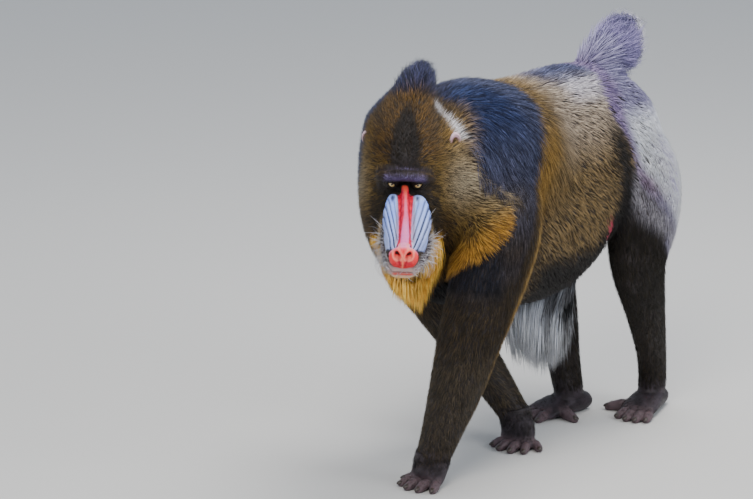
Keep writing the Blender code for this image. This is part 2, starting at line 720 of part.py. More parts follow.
def face_nodes(head, beard):
    """Gives the head its brow, lids, eyes, ears, muzzle and jaw; returns them by name."""
    made = {}
    axes = HEAD.to_3x3()
    stations = [((x, y, z), wide, deep) for x, y, z, wide, deep in BROW]
    bar = tube("brow", stations, (0, 0, 1), 8)
    bar.data.transform(HEAD)
    head = fuse(head, [bar])
    for name, sign in (("l", 1), ("r", -1)):
        centre = HEAD @ Vector((sign * EYE_SPACING / 2, 0.015, 0.0))
        lid = ellipsoid("lid", centre, axes, LID_SIZE, 14, 8)
        head = fuse(head, [lid])
        socket = ellipsoid("socket", centre, axes, [EYE_RADIUS + GAP] * 3, 12, 8)
        head = boolean(head, socket, "DIFFERENCE")
        front = HEAD @ Vector((sign * EYE_SPACING / 2, 0.0, -0.0004))
        slit = ellipsoid("slit", front, axes, SLIT_SIZE, 10, 6)
        head = boolean(head, slit, "DIFFERENCE")
        made[f"eye_{name}"] = ellipsoid("eye", centre, axes, [EYE_RADIUS] * 3, 12, 8)
    for name, sign in (("l", 1), ("r", -1)):
        spot = RUFF @ EAR_SPOTS[name]
        tip, turn = EAR_LEAN
        lean = axes @ Matrix.Rotation(sign * turn, 3, "Z") @ Matrix.Rotation(tip, 3, "X")
        ear = ellipsoid("ear", spot, lean, EAR_SIZE, 12, 8)
        dish = ellipsoid("dish", spot + lean @ Vector((0, -0.008, 0)), lean, EAR_DISH, 10, 6)
        socket = ellipsoid("socket", spot, lean, [half + GAP for half in EAR_SIZE], 12, 8)
        made[f"ear_{name}"] = largest_body(boolean(ear, dish, "DIFFERENCE"))
        head = boolean(head, socket, "DIFFERENCE")
    muzzle = muzzle_loft("muzzle", MUZZLE)
    bars = [muzzle_bar("cheek", CHEEK_RIDGE, sign) for sign in (1, -1)]
    muzzle = fuse(muzzle, [*bars, muzzle_bar("ridge", NOSE_RIDGE)])
    disc_axes = axes @ Matrix.Rotation(math.radians(-18), 3, "X")
    disc_centre = muzzle_point(0, *NOSE_DISC)
    muzzle = fuse(muzzle, [ellipsoid("disc", disc_centre, disc_axes, (0.0242, 0.0108, 0.0190), 16, 8)])
    for sign in (1, -1):
        pit = disc_centre + disc_axes @ Vector((sign * NOSTRIL_SPACING / 2, -0.011, 0.002))
        nostril = ellipsoid("nostril", pit, disc_axes, (0.0050, 0.008, 0.0054), 10, 8)
        muzzle = boolean(muzzle, nostril, "DIFFERENCE")
    jaw = muzzle_loft("jaw", JAW)
    along, up = head_turned(MUZZLE_OUT), head_turned(MUZZLE_TOP)
    slope = Matrix((head_turned(Vector((1, 0, 0))), -along, up)).transposed()
    low = box("low", muzzle_point(0, 0, MOUTH_LINE) - up * 0.5, slope, (0.5, 0.5, 0.5))
    high = box("high", muzzle_point(0, 0, MOUTH_LINE - GAP) + up * 0.5, slope, (0.5, 0.5, 0.5))
    muzzle = largest_body(boolean(muzzle, low, "DIFFERENCE"))
    jaw = largest_body(boolean(jaw, high, "DIFFERENCE"))
    head = boolean(head, muzzle_loft("seat", MUZZLE, GAP), "DIFFERENCE")
    head = boolean(head, muzzle_loft("seat", JAW, GAP), "DIFFERENCE")
    grown = [(x, out, top, wide + GAP, high + GAP) for x, out, top, wide, high in NOSE_RIDGE]
    grown[0] = (grown[0][0], grown[0][1] - 2 * GAP, *grown[0][2:])
    head = boolean(head, muzzle_bar("seat", grown), "DIFFERENCE")
    beard = boolean(beard, muzzle_loft("seat", JAW, GAP), "DIFFERENCE")
    beard = boolean(beard, muzzle_loft("seat", MUZZLE, GAP), "DIFFERENCE")
    made["beard"] = largest_body(beard)
    made["head"] = largest_body(head)
    made["muzzle"] = muzzle
    made["jaw"] = jaw
    return made


class Surface:
    """A closed mesh to lay locks on, or to keep them clear of."""

    def __init__(self, obj=None, bm=None):
        made = bm or bmesh.new()
        if obj:
            made.from_mesh(obj.data)
        self.tree = BVHTree.FromBMesh(made)
        made.free()

    def nearest(self, point):
        place, normal, _, distance = self.tree.find_nearest(point)
        return place, normal, distance

    def seen_from(self, centre, direction):
        """The outermost point of the surface that a ray from the centre comes out of."""
        direction = direction.normalized()
        place, normal, _, _ = self.tree.ray_cast(centre + direction * 1.0, -direction, 1.0)
        return place, normal


def strand(path, normals, width, thickness, grow=0.0):
    """A flat tapering lock along a path: three-sided rings, the ridge outward, and a pointed tip."""
    bm = bmesh.new()
    rows = []
    last = len(path) - 1
    for k in range(last):
        along = (path[k + 1] - path[max(k - 1, 0)]).normalized()
        side = along.cross(normals[k]).normalized()
        out = side.cross(along).normalized()
        wide = width * LOCK_WIDTHS[k] / 2 + grow
        thick = thickness * (1.0 if k < 2 else 0.75) + grow
        rows.append(
            [
                bm.verts.new(path[k] - side * wide - out * grow),
                bm.verts.new(path[k] + side * wide - out * grow),
                bm.verts.new(path[k] + out * thick),
            ]
        )
    tip = bm.verts.new(path[last] + (path[last] - path[last - 1]).normalized() * grow)
    for low, high in zip(rows, rows[1:]):
        for k in range(3):
            n = (k + 1) % 3
            bm.faces.new((low[k], low[n], high[n]))
            bm.faces.new((low[k], high[n], high[k]))
    bm.faces.new(list(reversed(rows[0])))
    for k in range(3):
        bm.faces.new((rows[-1][k], rows[-1][(k + 1) % 3], tip))
    bmesh.ops.recalc_face_normals(bm, faces=bm.faces)
    return bm


class Coat:
    """Lays locks on the parted body, each rooted in its own node and clear of all the others."""

    def __init__(self, outer, parts):
        self.outer = outer
        self.parts = parts
        self.nodes = {name: Surface(obj) for name, obj in parts.items()}
        self.laid = {name: [] for name in parts}
        self.others = {name: [] for name in parts}
        self.rng = random.Random(LOCK_SEED)

    def route(self, name, root, flow, length, lift, free, extra):
        """The lock's path over the surface from its root, and the way outward along it.

        Past the share called free, the lock leaves the surface and hangs along its lie.
        """
        place, normal, _ = self.outer.nearest(root)
        heading = flow(place, normal)
        path = [place - normal * LOCK_SINK]
        normals = [normal.copy()]
        point, done = place, 0.0
        for share in (*LOCK_RINGS[1:], 1.0):
            step = (share - done) * length
            if share > free:
                heading = (heading * 0.4 + flow(point, normal) * 0.6).normalized()
                path.append(path[-1] + heading * step)
                normals.append(normals[-1])
                point, done = path[-1], share
                continue
            heading = (heading - normal * heading.dot(normal)).normalized()
            point = point + heading * step
            near, normal, _ = self.outer.nearest(point)
            stands = lift * share**1.5 - LOCK_SINK * 0.6 * max(1 - 3 * share, 0)
            own = self.nodes[name].nearest(near)[2] < 0.001
            if not own:
                stands = max(stands, 0.0035 + extra)
            path.append(near + normal * (stands + extra * share))
            normals.append(normal.copy())
            point = near
            turned = flow(near, normal)
            heading = (heading * 0.6 + turned * 0.4).normalized()
            done = share
        return path, normals

    def clear(self, name, path, normals, width):
        grown = Surface(bm=strand(path, normals, width, LOCK_THICKNESS, LOCK_CLEARANCE))
        if min(p.z for p in path) < 0.02:
            return False
        for other, surface in self.nodes.items():
            if other != name and grown.tree.overlap(surface.tree):
                return False
            if other != name:
                for laid in self.laid[other]:
                    if grown.tree.overlap(laid.tree):
                        return False
        return True

    def lay(self, name, root, flow, length, width, lift=0.007, free=1.0):
        """Adds one lock to a node, raised or shortened until it clears the other nodes."""
        if self.nodes[name].nearest(root)[2] > 0.0015:
            return False
        length *= self.rng.uniform(0.88, 1.12)
        width *= self.rng.uniform(0.88, 1.12)
        lean = self.rng.uniform(-0.16, 0.16)

        def swayed(place, normal):
            return Matrix.Rotation(lean, 3, normal) @ flow(place, normal)

        for tries in range(LOCK_TRIES):
            path, normals = self.route(name, root, swayed, length, lift, free, 0.0018 * tries)
            if self.clear(name, path, normals, width):
                bm = strand(path, normals, width, LOCK_THICKNESS)
                mesh = bpy.data.meshes.new("lock")
                bm.to_mesh(mesh)
                bm.free()
                self.others[name].append(mesh)
                self.laid[name].append(Surface(bm=strand(path, normals, width, LOCK_THICKNESS)))
                return True
            length *= 0.93
        return False

    def fuse_all(self):
        """Unions every node with its locks, in one Boolean over their collection."""
        for name, meshes in self.others.items():
            if not meshes:
                continue
            locks = bpy.data.collections.new(f"{name}_locks")
            HELPERS.children.link(locks)
            for mesh in meshes:
                locks.objects.link(bpy.data.objects.new("lock", mesh))
            obj = self.parts[name]
            join = obj.modifiers.new("locks", "BOOLEAN")
            join.operation = "UNION"
            join.solver = "MANIFOLD"
            join.operand_type = "COLLECTION"
            join.collection = locks
            self.parts[name] = largest_body(evaluated(obj))
            for lock in list(locks.objects):
                bpy.data.objects.remove(lock)
            bpy.data.collections.remove(locks)
            print(name, "locks", len(meshes))


def rows_round(surface, centre, axis, start, bands):
    """Roots in staggered bands round an axis: each band gives a lean and the angles it runs between."""
    axis = axis.normalized()
    start = (start - axis * start.dot(axis)).normalized()
    for index, (lean, low, high, count) in enumerate(bands):
        for k in range(count):
            share = (k + (0.25 if index % 2 else 0.75)) / (count + 0.0)
            turn = math.radians(low + (high - low) * share)
            away = Matrix.Rotation(turn, 3, axis) @ start
            direction = away * math.cos(math.radians(lean)) + axis * math.sin(math.radians(lean))
            place, normal = surface.seen_from(centre, direction)
            if place is not None:
                yield place


def away_from_face(place, normal):
    """The lie of the head's hair: back from the face on all sides, and up into the crest."""
    local = RUFF.inverted() @ place
    flow = Vector((local.x * 0.9, 0.14, max(local.z, 0) * 0.8 - 0.035 - max(-local.z, 0) * 0.5))
    return (RUFF.to_3x3() @ flow).normalized()


def back_and_down(place, normal):
    side = min(abs(normal.x) + max(-normal.z, 0), 1)
    return Vector((0, 1.0, -0.75 * side)).normalized()


def straight_down(place, normal):
    return Vector((0, 0.06, -1)).normalized()


def down_the_chest(place, normal):
    return Vector((0.04, -0.10, -1)).normalized()


def down_and_back(place, normal):
    return (RUFF.to_3x3() @ Vector((0.16, 0.32, -1))).normalized()


def along_tail(place, normal):
    """The tail's tuft fans out behind its tip, a little up from its upper side and down from its lower."""
    rise = min(max((place.z - 0.662) * 9, -0.55), 0.12)
    return Vector((place.x * 9, 1.0, rise)).normalized()


def lay_coat(coat):
    """All the locks of crest, ruff, beard, mane, chest, belly fringe and tail."""
    outer = coat.outer
    crown = RUFF @ Vector((0, 0.13, 0.02))
    bands = [
        # lean up from level, between these angles from the face, count
        (66, -150, 150, 6),
        (48, -125, 125, 8),
        (28, -115, 115, 10),
        (8, -110, 110, 10),
        (-13, -105, 105, 10),
        (-34, -100, 100, 8),
    ]
    for place in rows_round(outer, crown, UP, FORWARD, bands):
        local = RUFF.inverted() @ place
        if local.y > 0.050 or local.z > 0.075 or abs(local.x) > 0.062:
            coat.lay("head", place, away_from_face, 0.070, 0.034)
    tip = RUFF @ Vector((0.010, 0.100, 0.150))
    for k in range(5):
        root = tip + LEFT * (k - 2) * 0.012 - UP * abs(k - 2) * 0.006
        coat.lay("head", root, away_from_face, 0.055, 0.022, 0.014)
    middle = Vector((0.012, -0.245, 0.535))
    axis = Vector((0.0, 1.0, 0.0))
    rows = ((-0.345, 11), (-0.300, 12), (-0.255, 13), (-0.205, 13), (-0.155, 13))
    for index, (y, count) in enumerate(rows):
        centre = Vector((middle.x, y, middle.z))
        band = [(0, -125, 125, count)] if index % 2 else [(0, -118, 132, count)]
        for place in rows_round(outer, centre, axis, UP, band):
            coat.lay("mane", place, back_and_down, 0.086, 0.040)
    beard_top = RUFF @ Vector((0.006, -0.034, -0.130))
    for band in ((0, -170, 130, 6), (-35, -140, 160, 5)):
        for place in rows_round(outer, beard_top, UP, FORWARD, [band]):
            coat.lay("beard", place, down_and_back, 0.074 if band[0] else 0.060, 0.022, 0.005, 0.3)
    tuft = Vector((0.005, -0.352, 0.362))
    for band in ((4, -85, 85, 5), (-35, -85, 85, 4)):
        for place in rows_round(outer, tuft, UP, Vector((0, -1, 0)), [band]):
            coat.lay("chest", place, down_the_chest, 0.062, 0.026, 0.005, 0.3)
    for sign in (1, -1):
        for y, high, reach in (
            (-0.050, 0.262, 0.062), (-0.028, 0.240, 0.068), (-0.006, 0.255, 0.082),
            (0.012, 0.232, 0.080), (0.034, 0.250, 0.078), (0.056, 0.242, 0.060),
            (0.078, 0.262, 0.050), (0.000, 0.222, 0.066), (0.026, 0.222, 0.064),
        ):
            place, _ = outer.seen_from(Vector((0, y, high)), Vector((sign, 0, -0.1)))
            if place is not None:
                coat.lay("torso", place, straight_down, reach, 0.026, 0.004, 0.2)
    tail_top = Vector((0, 0.225, 0.665))
    for band in ((0, 0, 360, 7), (38, 25, 385, 6)):
        reach = 0.062 if band[0] == 0 else 0.050
        for place in rows_round(outer, tail_top, Vector((0, 0.94, 0.18)), UP, [band]):
            coat.lay("tail", place, along_tail, reach, 0.020, 0.005, 0.35)


COAT = ((0.20, 0.16, 0.10), 0.85)
MANE_COAT = ((0.03, 0.035, 0.06), 0.85)
RUMP_COAT = ((0.30, 0.26, 0.36), 0.8)
GOLDEN = ((0.45, 0.24, 0.06), 0.85)
FACE_SKIN = ((0.45, 0.50, 0.70), 0.5)
EAR_SKIN = ((0.45, 0.26, 0.26), 0.6)
HAND_SKIN = ((0.08, 0.06, 0.07), 0.6)
EYE_GLOSS = ((0.25, 0.12, 0.03), 0.1)
LOOKS = {
    "head": COAT,
    "beard": GOLDEN,
    "jaw": FACE_SKIN,
    "muzzle": FACE_SKIN,
    "ear_l": EAR_SKIN,
    "ear_r": EAR_SKIN,
    "eye_l": EYE_GLOSS,
    "eye_r": EYE_GLOSS,
    "mane": MANE_COAT,
    "chest": MANE_COAT,
    "hips": RUMP_COAT,
    "tail": RUMP_COAT,
}


def stand_at_origin():
    """Moves the finished animal so that its box stands centred over the origin."""
    corners = [obj.matrix_world @ v.co for obj in NODES.values() for v in obj.data.vertices]
    middle = [(min(c[k] for c in corners) + max(c[k] for c in corners)) / 2 for k in (0, 1)]
    shift = Matrix.Translation(Vector((-middle[0], -middle[1], 0)))
    for obj in NODES.values():
        obj.data.transform(shift)
    print("moved by", tuple(round(-m, 5) for m in middle))


def main():
    body = whole_body()
    outer = Surface(body)
    limbs = (
        ("l", LEFT_ARM, LEFT_LEG, LEFT_FINGERS, LEFT_TOES),
        ("r", RIGHT_ARM, RIGHT_LEG, RIGHT_FINGERS, RIGHT_TOES),
    )
    parts = {}
    for side, arm, leg, fingers, toes in limbs:
        made, body = limb_nodes(body, side, arm, leg, fingers, toes)
        for name, piece in made.items():
            parts[f"{name}_{side}"] = piece
    parts["tail"], body = limb_off(body, TAIL, 0.006, end_margin=0.02)
    beard, body = limb_off(body, seen_from_eyes(BEARD), 0.006, 0.02, LEFT)
    parts["chest"], body = box_off(body, CHEST_BOX[0], Matrix.Identity(3), CHEST_BOX[1])
    point, lean = HEAD_SEAM
    rest, head = box_off(body, *behind(RUFF @ point, lean, HEAD_YAW))
    parts.update(face_nodes(head, beard))
    rest, parts["mane"] = box_off(rest, *behind(*MANE_SEAM))
    parts["hips"], parts["torso"] = box_off(rest, *behind(*HIPS_SEAM))
    coat = Coat(outer, parts)
    lay_coat(coat)
    coat.fuse_all()
    for name, piece in parts.items():
        look = HAND_SKIN if name[:4] in ("hand", "foot") else LOOKS.get(name, COAT)
        keep(name, piece, look)
    stand_at_origin()


if __name__ == "__main__":
    main()
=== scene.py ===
"""A walking adult male mandrill: skin, face, eyes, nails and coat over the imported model.

The body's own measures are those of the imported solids, here for a finer skin that lies under the coat.
"""

import math

import bmesh
import bpy
import numpy as np
from mathutils import Matrix, Vector
from mathutils.bvhtree import BVHTree


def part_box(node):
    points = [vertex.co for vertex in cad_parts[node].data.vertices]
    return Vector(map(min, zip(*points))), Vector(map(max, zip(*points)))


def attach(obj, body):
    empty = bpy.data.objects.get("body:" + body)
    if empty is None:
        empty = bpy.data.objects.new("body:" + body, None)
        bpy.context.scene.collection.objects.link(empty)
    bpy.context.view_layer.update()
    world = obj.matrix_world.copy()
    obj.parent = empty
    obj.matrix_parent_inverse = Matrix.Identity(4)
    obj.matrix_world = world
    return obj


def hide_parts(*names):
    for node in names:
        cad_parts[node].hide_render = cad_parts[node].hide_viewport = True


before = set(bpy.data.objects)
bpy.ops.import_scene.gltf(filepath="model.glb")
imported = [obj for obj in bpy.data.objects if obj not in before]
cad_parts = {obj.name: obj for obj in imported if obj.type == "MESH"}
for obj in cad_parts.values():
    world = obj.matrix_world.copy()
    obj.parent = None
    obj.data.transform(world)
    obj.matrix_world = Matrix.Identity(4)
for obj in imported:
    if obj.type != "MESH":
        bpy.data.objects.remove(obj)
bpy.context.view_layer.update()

# The head: the point midway between the eyes, and how the head is turned and lowered.
EYES = Vector((0.08, -0.468, 0.546))
HEAD_YAW = math.radians(38)
HEAD_PITCH = math.radians(14)
HEAD_ROLL = math.radians(2.5)
HEAD_TURN = math.radians(2.5)
EYE_SPACING = 0.0425
EYE_RADIUS = 0.0115
EYE_DEPTH = 0.015
IRIS_RADIUS = 0.006
PUPIL_RADIUS = 0.0021
MUZZLE_SLOPE = math.radians(20)
MOUTH_LINE = -0.04
NOSE_DISC = (0.144, -0.0105)
NOSE_MIDDLE = -0.0012
EAR_SPOTS = {1: Vector((0.08, 0.079, 0.059)), -1: Vector((-0.065, 0.1, 0.057))}
EAR_SIZE = (0.01, 0.0052, 0.014)

# How fine each skin's voxels are, in metres, and how often it is smoothed.
BODY_VOXEL, BODY_SMOOTHING = 0.0045, 16
HAND_VOXEL, HAND_SMOOTHING = 0.0021, 2
FACE_VOXEL, FACE_SMOOTHING = 0.00125, 3
# How far the body's skin lies under the solids, and the least height of the skin over the floor.
SKIN_DEPTH = 0.0045
FLOOR_GAP = 0.0004
# The coat. No piece has more triangles than the limit.
SEED = 5
HAIR_SHARE = 1.0
HAIR_GROWTH = 1.0
PIECE_LIMIT = 195000
# From what share of its length a tuft hangs free, here for one that lies along the skin to its tip.
NEVER_FREE = 9.0
# How deep a root is set, a tuft's height over its width, and the size of the coat's light and dark spots.
ROOT_DEPTH = 0.0015
TUFT_THICKNESS = 0.42
SPECKLE = 0.0034
# The photo's width and the camera's focal length, both in pixels, and the sensor in millimetres.
PHOTO_WIDTH = 753
FOCAL_LENGTH = 3420.0
SENSOR_WIDTH = 36.0

X, UP = Vector((1, 0, 0)), Vector((0, 0, 1))
FORWARD = Vector((math.sin(HEAD_YAW), -math.cos(HEAD_YAW), 0))
LEFT = UP.cross(FORWARD)


def turn(angle, axis):
    return Matrix.Rotation(angle, 4, axis)


RUFF = Matrix((LEFT, -FORWARD, UP)).transposed().to_4x4()
RUFF.translation = EYES
HEAD = RUFF @ turn(HEAD_TURN, "Z") @ turn(HEAD_ROLL, "Y") @ turn(HEAD_PITCH, "X")
HEAD_AXES = HEAD.to_3x3()
MUZZLE_OUT = Vector((0, -math.cos(MUZZLE_SLOPE), -math.sin(MUZZLE_SLOPE)))
MUZZLE_TOP = Vector((0, -math.sin(MUZZLE_SLOPE), math.cos(MUZZLE_SLOPE)))
NASION = Vector((0, -0.002, 0.0))

# All measures here are the solids' own, before they are centred; the left eye tells by how much that is.
eye_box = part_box("eye_l")
SHIFT = (Vector(eye_box[0]) + Vector(eye_box[1])) / 2 - HEAD @ Vector((EYE_SPACING / 2, EYE_DEPTH, 0))
SHIFT.z = 0.0


def metres(*rows):
    """Rows given in millimetres."""
    return [tuple(round(value * 10) / 10000 for value in row) for row in rows]


TRUNK = metres(
    # y, top, bottom, half-width
    (-365, 500, 385, 40), (-345, 560, 335, 75), (-300, 610, 300, 105), (-230, 640, 275, 128),
    (-150, 652, 262, 138), (-70, 655, 255, 138), (0, 658, 262, 135), (60, 660, 290, 130),
    (120, 655, 340, 124), (180, 640, 385, 118), (230, 608, 405, 99), (262, 560, 420, 70),
    (278, 515, 440, 46),
)
NECK = metres(
    # x, y, top, bottom, half-width
    (40, -400, 645, 420, 60), (32, -360, 668, 400, 88), (24, -300, 683, 385, 122),
    (15, -240, 684, 380, 138), (0, -170, 678, 380, 145), (0, -115, 660, 390, 139), (0, -70, 640, 430, 122),
)
HELMET = metres(
    # height above the eyes, half-width, front, back, shift to the left
    (176, 7, 130, 160, 24), (160, 22, 96, 185, 18), (142, 38, 70, 205, 11), (120, 56, 50, 225, 5),
    (84, 75, 28, 245, 0), (47, 83, 10, 250, 0), (15, 86, 5, 250, 0), (-20, 87, 5, 250, 0),
    (-55, 86, 6, 240, 0), (-95, 79, 10, 215, 0), (-130, 66, 18, 180, 2), (-160, 46, 26, 130, 4),
    (-183, 20, 36, 85, 6),
)
LIMBS = {
    # centre, half-width to the side, half-depth fore and aft
    "arm_l": metres(
        (85, -225, 545, 35, 55), (106, -240, 495, 55, 78), (118, -258, 445, 62, 85),
        (120, -285, 385, 60, 78), (115, -315, 312, 56, 67), (100, -328, 246, 52, 58),
        (80, -332, 170, 47, 50), (57, -341, 95, 36, 40), (46, -350, 50, 31, 34), (42, -356, 16, 32, 28),
    ),
    "arm_r": metres(
        (-85, -215, 545, 35, 55), (-104, -220, 495, 55, 78), (-116, -228, 445, 62, 85),
        (-118, -210, 375, 58, 76), (-112, -180, 310, 54, 64), (-100, -140, 245, 48, 54),
        (-72, -100, 165, 41, 44), (-27, -74, 90, 33, 35), (2, -67, 50, 29, 30), (10, -72, 16, 30, 24),
    ),
    "leg_l": metres(
        (42, 165, 575, 28, 45), (58, 174, 530, 43, 60), (75, 182, 480, 58, 84), (85, 184, 435, 62, 92),
        (91, 180, 390, 61, 87), (95, 172, 345, 54, 74), (98, 158, 300, 46, 61), (90, 192, 222, 37, 46),
        (76, 232, 145, 30, 37), (66, 256, 92, 27, 33), (60, 266, 50, 27, 32), (58, 266, 18, 28, 34),
    ),
    "leg_r": metres(
        (-42, 165, 575, 28, 45), (-58, 174, 530, 43, 60), (-75, 180, 480, 58, 84), (-85, 178, 435, 62, 90),
        (-93, 168, 385, 60, 85), (-98, 156, 335, 53, 72), (-96, 148, 285, 47, 60), (-82, 150, 220, 40, 48),
        (-65, 146, 165, 36, 43), (-50, 140, 105, 31, 37), (-40, 142, 55, 28, 34), (-38, 148, 18, 28, 34),
    ),
    "tail": metres(
        (0, 105, 600, 34, 36), (0, 148, 636, 32, 40), (0, 190, 660, 29, 42), (0, 225, 671, 25, 43),
        (0, 258, 670, 18, 43),
    ),
}
BEARD = metres(
    # left, back and up from the eyes, half-width, half-depth
    (0, -30, -85, 30, 30), (4, -40, -130, 30, 30), (12, -30, -165, 24, 25),
)
CHEST_TUFT = metres(
    # as the limbs
    (5, -320, 430, 52, 40), (4, -352, 385, 45, 36), (7, -374, 340, 32, 26),
)
BELLY_KEEL = metres(
    # y, top, bottom, half-width
    (-70, 300, 262, 22), (-45, 310, 238, 36), (-18, 320, 220, 42), (10, 330, 208, 44), (45, 340, 221, 45),
    (80, 350, 250, 44), (110, 370, 300, 35),
)
PALMS = {
    # as the limbs
    "palm_l": metres(
        (44, -350, 62, 29, 30), (44, -350, 45, 31, 31), (43, -355, 28, 34, 24), (41, -363, 13, 36, 14),
        (40, -371, 8, 33, 9),
    ),
    "palm_r": metres(
        (0, -67, 62, 28, 29), (4, -67, 45, 29, 29), (14, -74, 28, 33, 23), (22, -86, 13, 35, 13),
        (25, -96, 8, 32, 9),
    ),
    "sole_l": metres(
        (50, 304, 14, 18, 14), (53, 292, 16, 24, 20), (58, 268, 19, 28, 23), (66, 234, 17, 33, 19),
        (73, 207, 12, 36, 14), (77, 192, 8, 33, 9),
    ),
    "sole_r": metres(
        (-34, 190, 14, 18, 14), (-35, 178, 16, 24, 20), (-38, 154, 19, 28, 23), (-46, 120, 17, 33, 19),
        (-53, 93, 12, 36, 14), (-57, 78, 8, 33, 9),
    ),
}
DIGITS = {
    # root, middle joint and tip on the floor, and radius
    "palm_l": metres(
        (66, -368, 73, -378, 76, -389, 7.6), (50, -373, 53, -386, 54, -400, 8.2),
        (33, -373, 32, -387, 31, -401, 8.2), (17, -369, 12, -380, 9, -391, 7.6),
        (16, -352, 3, -356, -5, -363, 7.5),
    ),
    "palm_r": metres(
        (0, -93, -6, -104, -9, -115, 7.6), (16, -98, 14, -112, 13, -126, 8),
        (32, -98, 35, -112, 37, -126, 8), (47, -92, 54, -104, 58, -115, 7.6),
        (46, -74, 60, -78, 70, -86, 7.5),
    ),
    "sole_l": metres(
        (102, 198, 109, 186, 112, 175, 7.8), (90, 192, 95, 177, 97, 163, 8.2),
        (75, 190, 77, 174, 78, 160, 8.2), (60, 193, 58, 178, 57, 165, 8), (47, 222, 26, 209, 11, 201, 9.5),
    ),
    "sole_r": metres(
        (-83, 84, -90, 72, -93, 61, 7.8), (-70, 78, -75, 63, -77, 49, 8.2),
        (-55, 76, -57, 60, -58, 46, 8.2), (-40, 79, -38, 64, -37, 51, 8), (-27, 108, -6, 100, 10, 96, 9.5),
    ),
}
MUZZLE = metres(
    # distance out, half-width, top, bottom
    (-40, 24, -34, -54), (-6, 26, -20, -54), (5, 27, -9, -54), (20, 30, -4, -54), (50, 35.5, -3, -54),
    (90, 36, -3, -53), (112, 32, -4, -52), (132, 27, -6, -50), (146, 23, -10, -48), (152, 17, -18, -45),
)
JAW = metres(
    # as the muzzle
    (-50, 28, -36, -90), (0, 37, -34, -92), (50, 41.5, -32, -86), (90, 41, -30, -78), (118, 36, -30, -70),
    (140, 27, -32, -62), (152, 17, -34, -55),
)
CHEEK_RIDGE = metres(
    # x, distance out, top, half-width, half-height
    (19.5, 12, -13, 8.5, 7), (21.5, 30, -6, 12.2, 11.2), (24.5, 60, -5, 15, 12.8),
    (24.5, 88, -6, 14.5, 12.2), (21.5, 113, -9, 11, 10), (18, 128, -14, 6, 6),
)
NOSE_RIDGE = metres(
    # as the cheek ridge
    (0, -8, -6, 6, 6), (0, 20, -3, 6.4, 8), (0, 70, -2, 7, 9), (0, 105, -3, 8.6, 10),
    (0, 128, -6, 12.5, 11), (0, 145, -12, 15, 12),
)
BROW = metres(
    # left, back and up from the eyes, half-width, half-height
    (-46, 26, 0, 5.5, 6), (-36, 10, 10, 8, 9), (-18, 3, 16, 9, 10), (0, 2, 17, 9, 9), (18, 3, 16, 9, 10),
    (36, 10, 10, 8, 9), (46, 26, 0, 5.5, 6),
)
BEARD_AT = [(*(RUFF @ Vector(row[:3])), *row[3:]) for row in BEARD]
DIGIT_RINGS = [
    # share of the way, height, half-width, half-height, each in radii: two knuckles and a rounded pad
    (-0.25, 1.05, 1.05, 1.05), (0.15, 1.1, 1.0, 1.1), (0.45, 1.15, 1.12, 1.18), (0.72, 0.95, 0.98, 0.98),
    (0.95, 0.8, 0.95, 0.86), (1.1, 0.62, 0.8, 0.66), (1.18, 0.52, 0.45, 0.4),
]
MASK = metres(
    # height, half-width, front, back of the bare face's middle
    (30, 30, 24, 60), (20, 44, 15, 65), (10, 48, 12, 65), (0, 48, 11, 65), (-14, 47, 11, 65),
    (-30, 46, 11, 65), (-50, 45, 11, 65), (-75, 40, 12, 60), (-100, 30, 16, 55),
)
GROOVES = [
    # depth, then pairs of distance out and |x| along each slanting groove of the cheek ridges
    (0.62, (0.026, 0.031), (0.058, 0.0255), (0.087, 0.019), (0.117, 0.0116)),
    (1.0, (0.042, 0.0358), (0.067, 0.0312), (0.098, 0.024), (0.132, 0.014)),
    (0.95, (0.062, 0.0386), (0.091, 0.033), (0.122, 0.0238), (0.136, 0.0185)),
    (0.75, (0.086, 0.0388), (0.106, 0.0345), (0.128, 0.0285)),
    (0.4, (0.02, 0.0215), (0.045, 0.019), (0.07, 0.015), (0.085, 0.0128)),
]


# Meshes: lofts, tubes and remeshed unions.


def link(name, mesh, material=None):
    obj = bpy.data.objects.new(name, mesh)
    bpy.context.scene.collection.objects.link(obj)
    if material:
        mesh.materials.append(material)
    return obj


def mesh_of(name, bm):
    mesh = bpy.data.meshes.new(name)
    bm.to_mesh(mesh)
    bm.free()
    return mesh


def ring(centre, side, up, wide, rise, drop, power=2.1, count=24):
    points = []
    for k in range(count):
        angle = 2 * math.pi * k / count
        c, s = math.cos(angle), math.sin(angle)
        across = math.copysign(abs(c) ** (2 / power), c) * wide
        along = math.copysign(abs(s) ** (2 / power), s) * (rise if s > 0 else drop)
        points.append(centre + side * across + up * along)
    return points


def loft_into(bm, rings):
    rows = [[bm.verts.new(p) for p in one] for one in rings]
    count = len(rows[0])
    for low, high in zip(rows, rows[1:]):
        for k in range(count):
            n = (k + 1) % count
            bm.faces.new((low[k], low[n], high[n], high[k]))
    bm.faces.new(list(reversed(rows[0])))
    bm.faces.new(rows[-1])


def finer(table, rounds=2):
    """Corner-cutting along a row of stations, so that the form bends and doesn't crease."""
    rows = [np.array(r, float) for r in table]
    for _ in range(rounds):
        cut = [rows[0]]
        for a, b in zip(rows, rows[1:]):
            cut += [a * 0.75 + b * 0.25, a * 0.25 + b * 0.75]
        rows = [*cut, rows[-1]]
    return rows


def tube_into(bm, stations, side_hint=X, grow=0.0, count=20, rounds=1):
    stations = [(Vector(r[:3]), r[3], r[4]) for r in finer(stations, rounds)]
    centres = [s[0] for s in stations]
    rings = []
    for k, (centre, wide, deep) in enumerate(stations):
        along = centres[min(k + 1, len(centres) - 1)] - centres[max(k - 1, 0)]
        along.normalize()
        fore = along.cross(Vector(side_hint)).normalized()
        side = fore.cross(along).normalized()
        wide, deep = max(wide + grow, 0.003), max(deep + grow, 0.003)
        rings.append(ring(centre, side, fore, wide, deep, deep, 2.1, count))
    loft_into(bm, rings)


